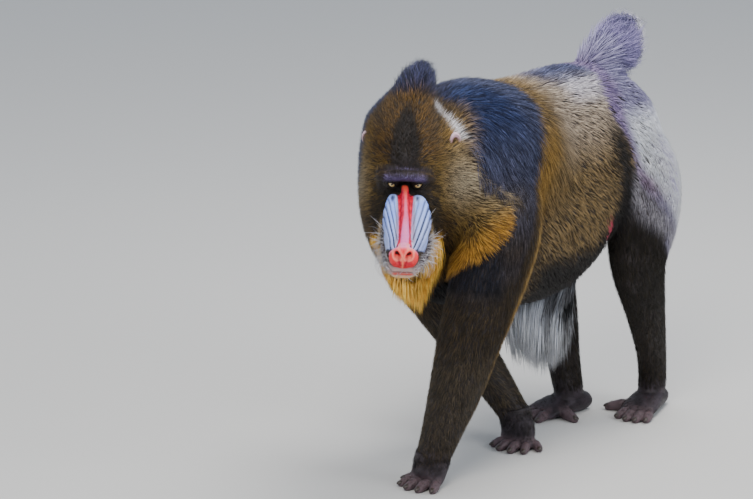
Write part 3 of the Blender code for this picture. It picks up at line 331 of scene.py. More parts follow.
def ellipsoid_into(bm, centre, axes, radii, segments=32, rings=20):
    shape = axes.to_4x4() @ Matrix.Diagonal((*radii, 1.0))
    shape.translation = centre
    made = bmesh.ops.create_uvsphere(bm, u_segments=segments, v_segments=rings, radius=1.0)
    bmesh.ops.transform(bm, matrix=shape, verts=made["verts"])


def remeshed(name, bm, voxel, smoothing):
    bmesh.ops.recalc_face_normals(bm, faces=bm.faces)
    obj = link(name, mesh_of(name, bm))
    remesh = obj.modifiers.new("remesh", "REMESH")
    remesh.mode = "VOXEL"
    remesh.voxel_size = voxel
    smooth = obj.modifiers.new("smooth", "SMOOTH")
    smooth.factor = 0.5
    smooth.iterations = smoothing
    bpy.context.view_layer.update()
    graph = bpy.context.evaluated_depsgraph_get()
    made = bpy.data.meshes.new_from_object(obj.evaluated_get(graph))
    bpy.data.objects.remove(obj)
    return made


def read(items, field, kind=np.float32):
    flat = np.empty(len(items) * 3, kind)
    items.foreach_get(field, flat)
    return flat.reshape(-1, 3)


def points_of(mesh):
    return read(mesh.vertices, "co").astype(float)


def normals_of(mesh):
    return read(mesh.vertices, "normal").astype(float)


def triangles_of(mesh):
    mesh.calc_loop_triangles()
    return read(mesh.loop_triangles, "vertices", np.int32)


def set_points(mesh, points):
    mesh.vertices.foreach_set("co", points.astype(np.float32).ravel())
    mesh.update()


def above_floor(points):
    points[:, 2] = np.maximum(points[:, 2], FLOOR_GAP)
    return points


def local_to(matrix, points):
    inverse = np.array(matrix.inverted())
    return points @ inverse[:3, :3].T + inverse[:3, 3]


def turned_by(matrix, vectors):
    return vectors @ np.array(matrix.to_3x3()).T


def unit(vectors):
    return vectors / (np.linalg.norm(vectors, axis=-1, keepdims=True) + 1e-12)


def step(low, high, value):
    t = np.clip((value - low) / (high - low), 0, 1)
    return t * t * (3 - 2 * t)


def bump_at(value, centre, width):
    return np.exp(-(((value - centre) / width) ** 2))


# The body's masses, each with a depth of coat over it.


def trunk_ring(y, top, bottom, wide):
    middle = bottom + (top - bottom) * 0.46
    rise, drop = top - middle - SKIN_DEPTH * 1.4, middle - bottom - SKIN_DEPTH * 1.6
    return ring(Vector((0, y, middle)), X, UP, wide - SKIN_DEPTH * 1.4, rise, drop, 2.25)


def neck_ring(x, y, top, bottom, wide):
    top, wide = top - 0.013, wide - 0.013
    half = (top - bottom) / 2 - 0.003
    return ring(Vector((x, y, (top + bottom) / 2)), X, UP, wide, half, half, 2.2)


def helmet_ring(height, wide, front, back, shift):
    wide = max(wide - (0.0075 if height > 0.1 else 0.01), 0.004)
    height -= 0.012 if height > 0.1 else 0.0
    front += 0.004
    half = (back - front) / 2
    return ring(RUFF @ Vector((shift, (front + back) / 2, height)), LEFT, -FORWARD, wide, half, half, 2.15)


def keel_ring(y, top, bottom, wide):
    middle = top - 0.02
    drop = max(middle - bottom - 0.012, 0.006)
    return ring(Vector((0, y, middle)), X, UP, wide - 0.008, 0.02, drop, 1.8)


def body_mesh():
    bm = bmesh.new()
    loft_into(bm, [trunk_ring(*row) for row in TRUNK])
    loft_into(bm, [neck_ring(*row) for row in NECK])
    loft_into(bm, [helmet_ring(*row) for row in HELMET])
    for name, stations in LIMBS.items():
        tube_into(bm, stations, X, -SKIN_DEPTH if name != "tail" else -0.008)
    tube_into(bm, BEARD_AT, LEFT, -0.006)
    tube_into(bm, CHEST_TUFT, X, -0.006)
    loft_into(bm, [keel_ring(*row) for row in BELLY_KEEL])
    for stations in PALMS.values():
        tube_into(bm, stations, X, -0.003)
    return remeshed("body", bm, BODY_VOXEL, BODY_SMOOTHING)


def digit_rings(row):
    """The rings of a finger or toe on the floor."""
    a, b, c = (Vector((*row[k : k + 2], 0)) for k in (0, 2, 4))
    radius = row[6]
    for share, height, wide, high in DIGIT_RINGS:
        t = min(max(share, 0), 1)
        centre = a * (1 - t) ** 2 + b * 2 * t * (1 - t) + c * t**2
        along = ((b - a) * (1 - t) + (c - b) * t).normalized()
        centre += along * (share - t) * (c - a).length
        centre.z = radius * height * 0.95
        yield ring(centre, UP.cross(along), UP, radius * wide, radius * high, radius * high, 2.2, 14)


def hands_mesh():
    bm = bmesh.new()
    for name, stations in PALMS.items():
        tube_into(bm, stations, X, -0.0012, 20, 2)
        for row in DIGITS[name]:
            loft_into(bm, digit_rings(row))
    mesh = remeshed("hands", bm, HAND_VOXEL, HAND_SMOOTHING)
    set_points(mesh, above_floor(points_of(mesh)))
    return mesh


def muzzle_point(x, out, top):
    return HEAD @ (NASION + Vector((x, 0, 0)) + MUZZLE_OUT * out + MUZZLE_TOP * top)


def skew_of(out):
    """How much wider the muzzle looks on its left than on its right, along its length."""
    return 0.11 * step(-0.01, 0.02, out) * (1 - step(0.112, 0.135, out))


def on_muzzle(points):
    """Muzzle coordinates of points: to the left, out along the slope, and above its back."""
    local = local_to(HEAD, points) - np.array(NASION)
    out = local @ np.array(MUZZLE_OUT)
    x = local[:, 0] / (1 + np.sign(local[:, 0]) * skew_of(out))
    return np.stack([x, out, local @ np.array(MUZZLE_TOP)], 1)


def face_mesh():
    bm = bmesh.new()
    side, top = ((HEAD_AXES @ axis).normalized() for axis in (X, MUZZLE_TOP))
    for table, power in ((MUZZLE, 2.8), (JAW, 2.6)):
        rings = []
        for out, wide, high, low in finer(table):
            half = (high - low) / 2
            rings.append(ring(muzzle_point(0, out, (high + low) / 2), side, top, wide, half, half, power, 40))
        loft_into(bm, rings)
    for mirror, table in ((1, CHEEK_RIDGE), (-1, CHEEK_RIDGE), (1, NOSE_RIDGE)):
        rings = [
            ring(muzzle_point(mirror * x, out, high), side, top, wide, tall, tall, 2.2, 24)
            for x, out, high, wide, tall in finer(table)
        ]
        loft_into(bm, rings)
    disc_axes = HEAD_AXES @ Matrix.Rotation(math.radians(-22), 3, "X")
    for place, radii in (
        # the nose's disc, its wings, and the lips
        ((0, *NOSE_DISC), (0.0228, 0.0108, 0.0168)),
        ((0.0125, 0.144, -0.013), (0.0112, 0.012, 0.014)),
        ((-0.0125, 0.144, -0.013), (0.0112, 0.012, 0.014)),
        ((0, 0.1375, -0.0345), (0.0215, 0.0125, 0.0072)),
        ((0, 0.135, -0.0465), (0.018, 0.0125, 0.007)),
    ):
        ellipsoid_into(bm, muzzle_point(*place), disc_axes, radii)
    tube_into(bm, [(*(HEAD @ Vector(row[:3])), *row[3:]) for row in BROW], HEAD_AXES @ UP, 0.0, 24, 2)
    rings = []
    for height, wide, front, back in finer(MASK, 1):
        centre, half = HEAD @ Vector((0, (front + back) / 2, height)), (back - front) / 2
        rings.append(ring(centre, side, HEAD_AXES @ Vector((0, 1, 0)), wide, half, half, 2.6, 32))
    loft_into(bm, rings)
    for sign in (1, -1):
        centre = HEAD @ Vector((sign * EYE_SPACING / 2, EYE_DEPTH, 0.0))
        ellipsoid_into(bm, centre, HEAD_AXES, (0.016, 0.0132, 0.0122))
    mesh = remeshed("face", bm, FACE_VOXEL, FACE_SMOOTHING)
    points = points_of(mesh)
    local = local_to(HEAD, points) - np.array(NASION)
    wider = local[:, 0] * np.sign(local[:, 0]) * skew_of(local @ np.array(MUZZLE_OUT))
    set_points(mesh, points + np.array(side) * wider[:, None])
    sculpt_face(mesh)
    return mesh


def groove_lines(x, out, thickness):
    """How deep each point of a cheek ridge lies in one of its slanting grooves, 0 to 1."""
    deep = np.zeros(len(x))
    for depth, *line in GROOVES:
        outs, wides = zip(*line)
        share = (out - outs[0]) / (outs[-1] - outs[0])
        fade = step(-0.04, 0.1, share) * (1 - step(0.9, 1.05, share))
        deep = np.maximum(deep, depth * fade * bump_at(np.abs(x), np.interp(out, outs, wides), thickness))
    return deep


def fine_lines(x, out):
    return np.sin((np.abs(x) + 0.27 * out) * 1750 + 0.9 * np.sin(out * 90) + 0.5 * np.sin(x * 240))


def nostrils_at(x, high):
    """For both nostrils: 0 at the hole's centre and 1 at its rim, and how deep in its groove a point is."""
    hole, curl = np.full(len(x), 9.0), np.zeros(len(x))
    line = np.interp(high, [-0.024, -0.016, -0.008, -0.002], [0.003, 0.0042, 0.0066, 0.0092])
    for sign in (1, -1):
        away = (x - NOSE_MIDDLE) * sign
        across, rise = away - 0.0092, high + 0.0028
        u, v = across * 0.93 + rise * 0.36, -across * 0.36 + rise * 0.93
        hole = np.minimum(hole, np.hypot(u / 0.0052, v / 0.0037))
        fall = bump_at(away, line, 0.0019) * step(-0.026, -0.018, high) * (1 - step(-0.006, 0.0, high))
        curl = np.maximum(curl, fall)
    return hole, curl


def face_masks(points):
    """Which part of the bare face each point belongs to, as soft masks."""
    x, out, high = on_muzzle(points).T
    lx, ly, lz = local_to(HEAD, points).T
    wide = np.abs(x)
    rows = [0.012, 0.016, 0.025, 0.047, 0.069, 0.091, 0.1125, 0.128]
    outer = np.interp(out, rows, [0.0255, 0.03, 0.0325, 0.038, 0.0402, 0.039, 0.0346, 0.025])
    blue = 1 - step(outer - 0.0008, outer + 0.001, wide)
    blue *= step(0.0125, 0.0155, out + 3.0 * (wide - 0.021).clip(0, 1) ** 1.3)
    blue *= (1 - step(0.127, 0.132, out + 0.35 * (wide - 0.02))) * step(-0.034, -0.028, high)
    rows = [-0.006, 0.0, 0.008, 0.014, 0.02, 0.06, 0.11, 0.13]
    strip = np.interp(out, rows, [0.004, 0.0055, 0.006, 0.0125, 0.0129, 0.0112, 0.0102, 0.013])
    red = (1 - step(strip - 0.0007, strip + 0.0007, wide)) * step(-0.003, 0.0015, out)
    red *= 1 - step(0.004, 0.008, lz)
    tall = np.where(high > NOSE_DISC[1], 0.026, 0.0203)
    disc = 1 - step(0.95, 1.03, np.hypot(x / 0.0243, (high - NOSE_DISC[1]) / tall))
    disc *= step(0.125, 0.129, out - 13.0 * wide**2)
    lips = bump_at(high, -0.044, 0.0024) * step(0.125, 0.143, out) * (1 - step(0.013, 0.019, wide))
    lids = (1 - step(0.0012, 0.004, both_eyes(points))) * (ly < 0.024)
    brow = bump_at(lz, 0.0148 - 3.5 * lx**2, 0.0052) * (1 - step(0.029, 0.037, np.abs(lx)))
    brow *= (1 - step(0.014, 0.022, ly)) * step(0.0075, 0.0105, lz + 6.0 * lx**2)
    chin = step(-0.046, -0.05, high) * step(0.0, 0.04, out)
    return dict(blue=blue, red=red, disc=disc, lips=lips, lids=lids, brow=brow, chin=chin)


def eye_opening(local, sign):
    """How far out of the almond between the lids a point is, less than 0 inside it."""
    x = (local[:, 0] - sign * EYE_SPACING / 2) * sign
    z = local[:, 2] + 0.001 - x * 0.3
    share = np.clip(np.abs(x) / 0.007, 0, 1)
    upper = 0.0024 * (1 - share**2.2)
    lower = 0.0042 * (1 - share**1.8)
    gap = np.where(z > 0, z - upper, -z - lower)
    return np.where(np.abs(x) > 0.007, np.maximum(gap, np.abs(x) - 0.007), gap)


def both_eyes(points):
    local = local_to(HEAD, points)
    return np.minimum(eye_opening(local, 1), eye_opening(local, -1))


def sculpt_face(mesh):
    """Grooves, nostrils, lips, lids and folds, pressed into the remeshed face."""
    points, normals = points_of(mesh), normals_of(mesh)
    x, out, high = on_muzzle(points).T
    local = local_to(HEAD, points)
    ridge = step(-0.026, -0.018, high) * step(0.012, 0.022, out) * (1 - step(0.124, 0.134, out))
    ridge *= step(0.01, 0.013, np.abs(x))
    push = -0.0026 * groove_lines(x, out, 0.0012) * ridge
    push += 0.0003 * fine_lines(x, out) * ridge
    valley = bump_at(np.abs(x), 0.0112, 0.0026) * step(0.006, 0.02, out) * (1 - step(0.112, 0.13, out))
    push -= 0.0024 * valley * step(-0.016, -0.008, high)
    pits = bump_at(np.abs(x), 0.0085, 0.0022) * bump_at(out, 0.0135, 0.003)
    push -= 0.003 * pits * step(-0.02, -0.012, high)
    front = step(0.14, 0.146, out + 0.35 * high)
    push -= 0.0012 * bump_at(x, NOSE_MIDDLE, 0.001) * front * step(-0.034, -0.028, high)
    hole, curl = nostrils_at(x, high)
    facing = normals @ np.array((HEAD_AXES @ MUZZLE_OUT).normalized())
    push -= 0.007 * np.exp(-(hole**3.2)) * front * step(-0.2, 0.4, facing)
    push -= 0.0017 * curl * front * step(0.1, 0.5, facing)
    push += 0.0007 * bump_at(hole, 1.5, 0.35) * front
    push -= 0.003 * bump_at(high, MOUTH_LINE, 0.0011) * step(0.02, 0.05, out)
    push -= 0.0012 * bump_at(high, -0.029, 0.0012) * step(0.135, 0.145, out)
    push += 0.00025 * wave(points, 900, 31) * (1 - ridge)
    points += normals * push[:, None]
    back = np.array((HEAD_AXES @ Vector((0, 1, 0))).normalized())
    for sign in (1, -1):
        gap = eye_opening(local, sign)
        near = (local[:, 1] < 0.016) & (np.abs(local[:, 0] - sign * EYE_SPACING / 2) < 0.02)
        inside = 1 - step(-0.0007, 0.0005, gap)
        rims = ((0.0016, 0.001), (0.0044, 0.0009), (0.0072, 0.0008))
        lid, crease, fold = (bump_at(gap, *at) for at in rims)
        sunk = inside * 0.012 + crease * 0.0012 + fold * 0.0007 - lid * 0.0009
        points += back * np.where(near, sunk, 0)[:, None]
    set_points(mesh, points)


def ears_mesh():
    """Two small bare ears: a thin curled rim round a deep shell."""
    bm = bmesh.new()
    wide, thick, tall = EAR_SIZE
    for sign in (1, -1):
        made = bmesh.ops.create_uvsphere(bm, u_segments=48, v_segments=36, radius=1.0)["verts"]
        for vert in made:
            u, depth, w = vert.co
            r = math.hypot(u, w)
            dish = 0.0
            if depth < 0:
                dish = 1.5 * (1 - min(r / 0.8, 1) ** 2) ** 0.8
                dish -= 0.42 * math.exp(-(((r - 0.52) / 0.12) ** 2)) * (1 if w > -0.2 else 0.3)
            vert.co = Vector((u * wide, (depth + dish * 0.92) * thick, w * tall))
            vert.co += Vector((0, 0.0035 * max(w, 0) ** 2, 0))
        shape = HEAD_AXES.to_4x4() @ turn(sign * math.radians(24), "Z") @ turn(math.radians(8), "X")
        shape.translation = RUFF @ EAR_SPOTS[sign]
        bmesh.ops.transform(bm, matrix=shape, verts=made)
    bmesh.ops.recalc_face_normals(bm, faces=bm.faces)
    return mesh_of("ears", bm)


# Colours, given as they look on a screen and kept as light.


def light(*rgb):
    c = np.array(rgb, float) / 255
    return np.where(c <= 0.04045, c / 12.92, ((c + 0.055) / 1.055) ** 2.4)


def mix(a, b, share):
    share = np.asarray(share)[..., None]
    return a * (1 - share) + b * share


def wave(points, scale, seed):
    """A smooth, repeatable noise of about -1 to 1, from a few sums of sines."""
    rng = np.random.default_rng(seed)
    total = np.zeros(len(points))
    for _ in range(6):
        direction = rng.normal(size=3)
        direction *= scale / np.linalg.norm(direction) * rng.uniform(0.6, 1.5)
        total += np.sin(points @ direction + rng.uniform(0, 6.28))
    return total / 3.2


def between(table, key, at):
    """The other columns of a table, read between its rows."""
    columns = np.array(table).T
    order = columns[key].argsort()
    return [np.interp(at, columns[key][order], c[order]) for k, c in enumerate(columns) if k != key]


def past_ends(table, key, at):
    column = [row[key] for row in table]
    return np.maximum(min(column) - at, at - max(column))


def nearness(points):
    """For each mass, how many of its own radii a point lies from its axis."""
    found = {}
    for name, rows in {**LIMBS, "beard": BEARD_AT, "chest": CHEST_TUFT}.items():
        found[name] = np.full(len(points), 9.0)
        for low, high in zip(rows, rows[1:]):
            a, b = np.array(low[:3]), np.array(high[:3])
            thin, thick = (low[3] + low[4]) / 2, (high[3] + high[4]) / 2
            t = np.clip((points - a) @ (b - a) / ((b - a) @ (b - a)), 0, 1)
            away = np.linalg.norm(points - a - t[:, None] * (b - a), axis=1)
            found[name] = np.minimum(found[name], away / (thin + (thick - thin) * t))
    x, y, z = points.T
    top, low, wide = between(TRUNK, 0, y)
    middle = low + (top - low) * 0.46
    tall = np.where(z > middle, top - middle, middle - low)
    ends = past_ends(TRUNK, 0, y)
    found["trunk"] = np.where(ends > 0, 1.2 + ends * 20, np.hypot(x / wide, (z - middle) / tall))
    middle, top, low, wide = between(NECK, 1, y)
    ends = past_ends(NECK, 1, y)
    value = np.hypot((x - middle) / wide, (z - (top + low) / 2) / (top - low) * 2)
    found["neck"] = np.where(ends > 0, 1.0 + ends * 20, value)
    lx, ly, lz = local_to(RUFF, points).T
    wide, front, back, shift = between(HELMET, 0, lz)
    ends = past_ends(HELMET, 0, lz)
    value = np.hypot((lx - shift) / wide, (ly - (front + back) / 2) / ((back - front) / 2))
    found["head"] = np.where(ends > 0, 1.0 + ends * 15, value)
    return found


def face_colours(points):
    """The bare face: blue ridges, crimson strip, coral nose, dark lids, lilac brow and whiskered lips."""
    x, out, high = on_muzzle(points).T
    wide = np.abs(x)
    masks = face_masks(points)
    colour = mix(light(46, 35, 30), light(32, 24, 21), step(-1, 1, wave(points, 420, 1)))
    tone = mix(light(162, 188, 255), light(130, 160, 252), step(-0.9, 1.0, wave(points, 160, 2)))
    for rgb, weight in (
        # painted highlight: the ridges paler toward the nose
        ((194, 204, 244), 0.55 * step(0.06, 0.11, out)),
        ((120, 134, 196), 0.6 * step(0.033, 0.04, wide)),
        ((196, 214, 226), 0.6 * bump_at(wide, 0.014, 0.0022)),
        ((120, 134, 190), 0.34 * step(0.1, 1.0, -fine_lines(x, out))),
        # painted shade: the sculpted grooves between the ridges darkened
        ((22, 24, 56), np.clip(groove_lines(x, out, 0.00115) * 1.5, 0, 1)),
        ((96, 104, 150), 0.7 * (1 - step(0.015, 0.0215, out))),
    ):
        tone = mix(tone, light(*rgb), weight)
    colour = mix(colour, tone, masks["blue"])
    streaks = step(-0.6, 0.8, wave(points * np.array((1, 1, 0.4)), 420, 3))
    crimson = mix(light(222, 0, 52), light(180, 0, 36), streaks)
    # Painted highlight: a lighter line down the ridge of the red strip, pinker and lilac toward the nose.
    highlight_half = np.interp(out, [0, 0.03, 0.06, 0.085, 0.11], [0.003, 0.0018, 0.0024, 0.0048, 0.0064])
    aside = np.abs(x - np.interp(out, [0, 0.07, 0.12], [0, 0.002, 0.0004]))
    crest = 1 - step(highlight_half - 0.0008, highlight_half + 0.0012, aside)
    ridge_highlight = mix(light(214, 76, 56), light(222, 92, 136), step(0.01, 0.06, out))
    ridge_highlight = mix(ridge_highlight, light(224, 118, 178), step(0.065, 0.1, out))
    groove = 0.5 * bump_at(x, -0.0036, 0.0007) * (1 - step(0.05, 0.075, out))
    crimson = mix(crimson, light(198, 78, 110), groove)
    crimson = mix(crimson, ridge_highlight, crest * 0.92)
    crimson = mix(crimson, light(196, 66, 48), 1 - step(0.002, 0.014, out))
    # painted shade: the two sculpted pits at the top of the strip nearly black
    pits = 0.8 * bump_at(wide, 0.0085, 0.002) * bump_at(out, 0.012, 0.0026)
    crimson = mix(crimson, light(24, 14, 14), pits)
    colour = mix(colour, crimson, masks["red"])
    hole, curl = nostrils_at(x, high)
    coral = mix(light(238, 54, 58), light(214, 8, 34), step(-0.004, -0.022, high))
    for rgb, weight in (
        ((198, 24, 60), 0.75 * bump_at(wide, 0.0085, 0.0045) * bump_at(high, -0.0125, 0.006)),
        ((232, 134, 178), step(0.144, 0.133, out + 0.2 * high)),
        ((252, 150, 128), 0.7 * bump_at(hole, 1.55, 0.35)),
        ((250, 146, 112), 0.85 * bump_at(x, NOSE_MIDDLE, 0.0016) * step(0.002, -0.006, high)),
        # painted shade: darker red in the sculpted groove below each nostril
        ((150, 20, 44), 0.65 * curl),
        # painted shade: the inside of the sculpted nostril holes near black
        ((30, 6, 8), 1 - step(0.62, 1.02, hole)),
        # painted highlights: paler spots scattered over the nose
        ((240, 110, 100), 0.2 * step(0.2, 1.0, wave(points, 900, 5))),
    ):
        coral = mix(coral, light(*rgb), weight)
    lip = step(-0.022, -0.032, high) * (1 - step(-0.047, -0.053, high)) * step(0.03, 0.09, out)
    lip_tone = mix(light(92, 80, 86), light(60, 50, 56), step(-1, 1, wave(points, 600, 6)))
    colour = mix(colour, lip_tone, lip * (1 - masks["blue"]))
    colour = mix(colour, light(206, 170, 164), 0.8 * lip * step(0.125, 0.145, out) * (1 - masks["blue"]))
    colour = mix(colour, coral, masks["disc"])
    for rgb, weight in (
        ((204, 84, 74), np.clip(1.2 * masks["lips"], 0, 1) * (1 - masks["disc"])),
        ((84, 30, 32), 0.8 * bump_at(high, MOUTH_LINE, 0.001) * step(0.03, 0.06, out)),
        ((220, 186, 140), masks["chin"] * 0.9),
        ((84, 72, 108), masks["brow"].clip(0, 1) * 0.9),
        ((14, 10, 10), masks["lids"]),
    ):
        colour = mix(colour, light(*rgb), weight)
    return np.clip(colour, 0, 1)


def groin_patch(points):
    """The bare rose skin between belly and thigh."""
    x, y, z = points.T
    away = np.hypot((y - 0.052 + 0.25 * (z - 0.38)) / 0.015, (z - 0.38) / 0.034)
    return step(1.35, 0.6, away) * step(0.06, 0.08, np.abs(x)) * step(0.2, 0.16, np.abs(x))


def skin_colours(points):
    """The skin under the coat: dark grey, bare lilac and rose on the rump, dark hands with paler digits."""
    x, y, z = points.T
    colour = np.tile(light(44, 38, 38), (len(points), 1))
    rump = step(0.16, 0.24, y) * step(0.36, 0.42, z) * (1 - step(0.58, 0.64, z))
    bare = mix(light(150, 128, 188), light(196, 132, 164), 1 - step(0.0, 0.045, np.abs(x)))
    colour = mix(colour, bare, rump)
    # The groin's own bare rose skin, its rose darkened as painted shade between belly and thigh.
    colour = mix(colour, light(168, 60, 78), groin_patch(points))
    dark = mix(light(44, 38, 42), light(66, 58, 64), step(-1, 1, wave(points, 260, 8)))
    colour = mix(colour, dark, 1 - step(0.045, 0.075, z))
    digits = np.zeros(len(points))
    for row in sum(DIGITS.values(), []):
        a, b, c = (np.array(row[k : k + 2]) for k in (0, 2, 4))
        for p, q, power in ((a, b, 0.7), (b, c, 1.0)):
            t = np.clip((points[:, :2] - p) @ (q - p) / ((q - p) @ (q - p)), 0, 1.4)
            away = np.linalg.norm(points[:, :2] - p - t[:, None] * (q - p), axis=1)
            digits = np.maximum(digits, power * (1 - step(row[6], row[6] * 1.6, away)))
    digits *= 1 - step(0.016, 0.026, z)
    return mix(colour, light(104, 86, 90), digits * 0.7)


def ear_colours(points):
    made = np.tile(light(222, 186, 196), (len(points), 1))
    for spot in EAR_SPOTS.values():
        away = points - np.array(RUFF @ spot)
        local = turned_by(HEAD_AXES.inverted(), away)
        near = np.linalg.norm(away, axis=1) < 0.05
        inside = np.exp(-((local[:, 0] / 0.0065) ** 2) - (local[:, 2] / 0.009) ** 2)
        made = np.where(near[:, None], mix(light(226, 196, 206), light(150, 92, 104), inside), made)
    return made


EDGE_OF_RUFF = (
    # how far to the side, and the height there of the golden edge under the cheek
    (0.0, 0.05, 0.073, 0.096, 0.124, 0.148, 0.17),
    (-0.19, -0.178, -0.164, -0.135, -0.11, -0.086, -0.045),
)
EDGE_OF_RUMP = ([0.4, 0.48, 0.545, 0.6, 0.64], [0.165, 0.1, 0.072, 0.058, 0.075])
FOREHEAD_BAND = ([0.0, 0.03, 0.075, 0.1, 0.12], [0.028, 0.021, 0.016, 0.009, 0.004])


def ruff_share(local):
    """How much a point belongs to the olive head, not the mane, and how near it is to the ruff's rim."""
    lx, ly, lz = local.T
    wide = np.abs(lx)
    limit = 0.082 + 0.62 * (lz - 0.05).clip(0, 1) + 0.55 * (0.01 - lz).clip(0, 0.06)
    below = lz - np.interp(wide, *EDGE_OF_RUFF)
    head = step(0.01, -0.01, ly - limit) * step(-0.012, 0.006, below)
    rim = step(-0.012, 0.0, below) * step(0.042, 0.01, below) * step(0.118, 0.098, ly)
    return head, rim * step(0.045, 0.08, wide) * step(-0.045, -0.075, lz)


def cells(points, size):
    """One random number for each small cube of space, the same on every run."""
    at = np.floor(points / size).astype(np.int64)
    mixed = (at[:, 0] * 73856093) ^ (at[:, 1] * 19349663) ^ (at[:, 2] * 83492791)
    return ((mixed * 2654435761) % 65536) / 65536.0


class Tones:
    """Dark and light of the banded hair, and how much of it is light, at each point."""

    def __init__(self, points, dark, pale, share):
        self.dark, self.pale = (np.tile(light(*tone), (len(points), 1)) for tone in (dark, pale))
        self.share = np.full(len(points), share)

    def paint(self, dark, pale, share, weight):
        self.dark = mix(self.dark, light(*dark), weight)
        self.pale = mix(self.pale, light(*pale), weight)
        self.share = self.share * (1 - weight) + share * weight
        return self


def coat_tones(points):
    """The coat's markings, each painted over the last."""
    x, y, z = points.T
    wide = np.abs(x)
    local = local_to(RUFF, points)
    lx, ly, lz = local.T
    side = np.abs(lx)
    near = nearness(points)
    limb = np.minimum(np.minimum(near["arm_l"], near["arm_r"]), np.minimum(near["leg_l"], near["leg_r"]))
    body = np.minimum(near["trunk"], near["neck"])
    on_limb = step(0.14, -0.1, limb - body) * step(0.53, 0.44, z)
    drift = 0.01 * wave(points, 45, 41)
    tones = Tones(points, (34, 27, 20), (112, 90, 58), 0.4)
    paint = tones.paint
    # The flank: speckled gold-brown below, greyer and paler toward the back.
    paint((56, 45, 30), (190, 158, 104), 0.56, step(-0.2, -0.15, y))
    high = step(0.5, 0.61, z + drift)
    paint((116, 104, 94), (242, 222, 198), 0.74, high * step(-0.13, -0.07, y) * 0.95)
    cream = step(0.6, 0.632, z) * step(-0.06, -0.01, y + drift) * step(0.105, 0.07, y)
    paint((184, 176, 188), (255, 250, 255), 0.84, cream * 0.95)
    spine = step(0.07, 0.045, wide + drift) * step(0.635, 0.652, z) * step(-0.09, -0.03, y)
    paint((40, 44, 76), (112, 122, 174), 0.42, spine * 0.95)
    stripe = bump_at(y + 0.125 + 0.45 * (0.635 - z) + drift, 0.0, 0.03) * step(0.2, 0.3, z)
    stripe *= 1 - 0.85 * step(0.57, 0.63, z)
    paint((78, 56, 22), (226, 178, 88), 0.64, stripe * 0.92)
    # The dark belly and groin.
    belly = step(0.395, 0.345, z + drift - 0.1 * step(0.0, 0.1, y)) * step(-0.19, -0.14, y)
    paint((20, 17, 17), (58, 50, 44), 0.25, belly)
    groin = bump_at(y + 0.22 * (z - 0.5) - 0.075, 0.0, 0.026) * step(0.6, 0.53, z) * step(0.34, 0.4, z)
    paint((18, 16, 17), (54, 46, 44), 0.24, groin * 0.95)
    # The rump: lilac from the tail's root, then bluish white, then grey toward the dark thigh.
    edge = y - np.interp(z, *EDGE_OF_RUMP)
    thigh_line = z + (y - 0.082)
    rump = step(-0.004, 0.012, edge + drift) * step(0.42, 0.46, thigh_line)
    paint((112, 106, 142), (196, 192, 226), 0.6, rump)
    paint((112, 92, 140), (188, 164, 206), 0.6, rump * step(0.055, 0.02, edge) * step(0.44, 0.5, z) * 0.8)
    thigh_line = thigh_line + drift
    white = rump * step(0.018, 0.045, edge) * step(0.6, 0.56, z) * step(0.485, 0.525, thigh_line)
    paint((232, 236, 255), (255, 255, 255), 0.95, white)
    rose = rump * bump_at(edge, 0.02, 0.02) * bump_at(z, 0.462, 0.028)
    paint((128, 96, 130), (196, 158, 186), 0.55, rose * 0.8)
    grey = bump_at(thigh_line, 0.47, 0.034) * step(0.09, 0.125, y)
    paint((120, 116, 128), (232, 228, 238), 0.66, grey * 0.9)
    # Limbs: dark brown, finely flecked.
    arms = np.minimum(near["leg_l"], near["leg_r"]) >= np.minimum(near["arm_l"], near["arm_r"])
    paint((28, 22, 16), (112, 92, 62), 0.38, on_limb * arms)
    fore = step(0.3, 0.2, z) * step(0.04, 0.09, z)
    paint((36, 30, 24), (140, 124, 98), 0.44, on_limb * arms * fore * 0.8)
    dark_leg = step(0.448, 0.42, thigh_line) * step(0.2, -0.1, limb - body) * (1 - arms)
    paint((17, 14, 12), (62, 52, 34), 0.32, dark_leg)
    paint((20, 17, 15), (80, 68, 48), 0.36, step(0.24, 0.16, z) * (1 - arms))
    # The mane: blue-black from the head's edge over the shoulders; under it the dark chest.
    mane = step(0.012, -0.016, y + 0.15 + 0.5 * (0.635 - z) + drift) * step(0.36, 0.43, z)
    paint((30, 32, 50), (124, 132, 176), 0.46, mane)
    # Painted sheen: the top of the mane bluer and lighter, a painted highlight where light falls on it.
    top = mane * step(0.59, 0.655, z) * step(0.02, -0.02, ly - 0.19)
    paint((14, 22, 56), (66, 92, 156), 0.38, top * 0.85)
    middle = mane * bump_at(lz, -0.035, 0.045) * step(0.0, 0.05, lx)
    paint((52, 46, 46), (158, 148, 150), 0.46, middle * step(0.2, 0.1, ly) * 0.8)
    lower = mane * step(0.5, 0.42, z)
    paint((34, 26, 18), (118, 96, 62), 0.38, lower * step(0.03, 0.08, x) * 0.85)
    arm_front = (near["arm_l"] < 1.4) * step(0.33, 0.38, z) * step(0.47, 0.42, z) * step(-0.3, -0.33, y)
    paint((14, 15, 24), (52, 56, 78), 0.32, arm_front)
    paint((15, 14, 17), (46, 42, 46), 0.24, step(-0.17, -0.22, y) * step(0.46, 0.4, z) * (1 - on_limb))
    # A thin golden edge down the back of each arm, where the stripe behind the mane runs on.
    for name, outward in (("arm_l", 1), ("arm_r", -1)):
        middle_x, middle_y, across, deep = between(LIMBS[name], 2, z)
        angle = np.arctan2((y - middle_y) / deep, (x - middle_x) * outward / across)
        line = bump_at(angle, math.radians(44), 0.24) * step(0.08, 0.16, z) * step(0.52, 0.42, z)
        paint((120, 86, 36), (240, 200, 120), 0.72, line * (near[name] < 1.5) * 0.95)
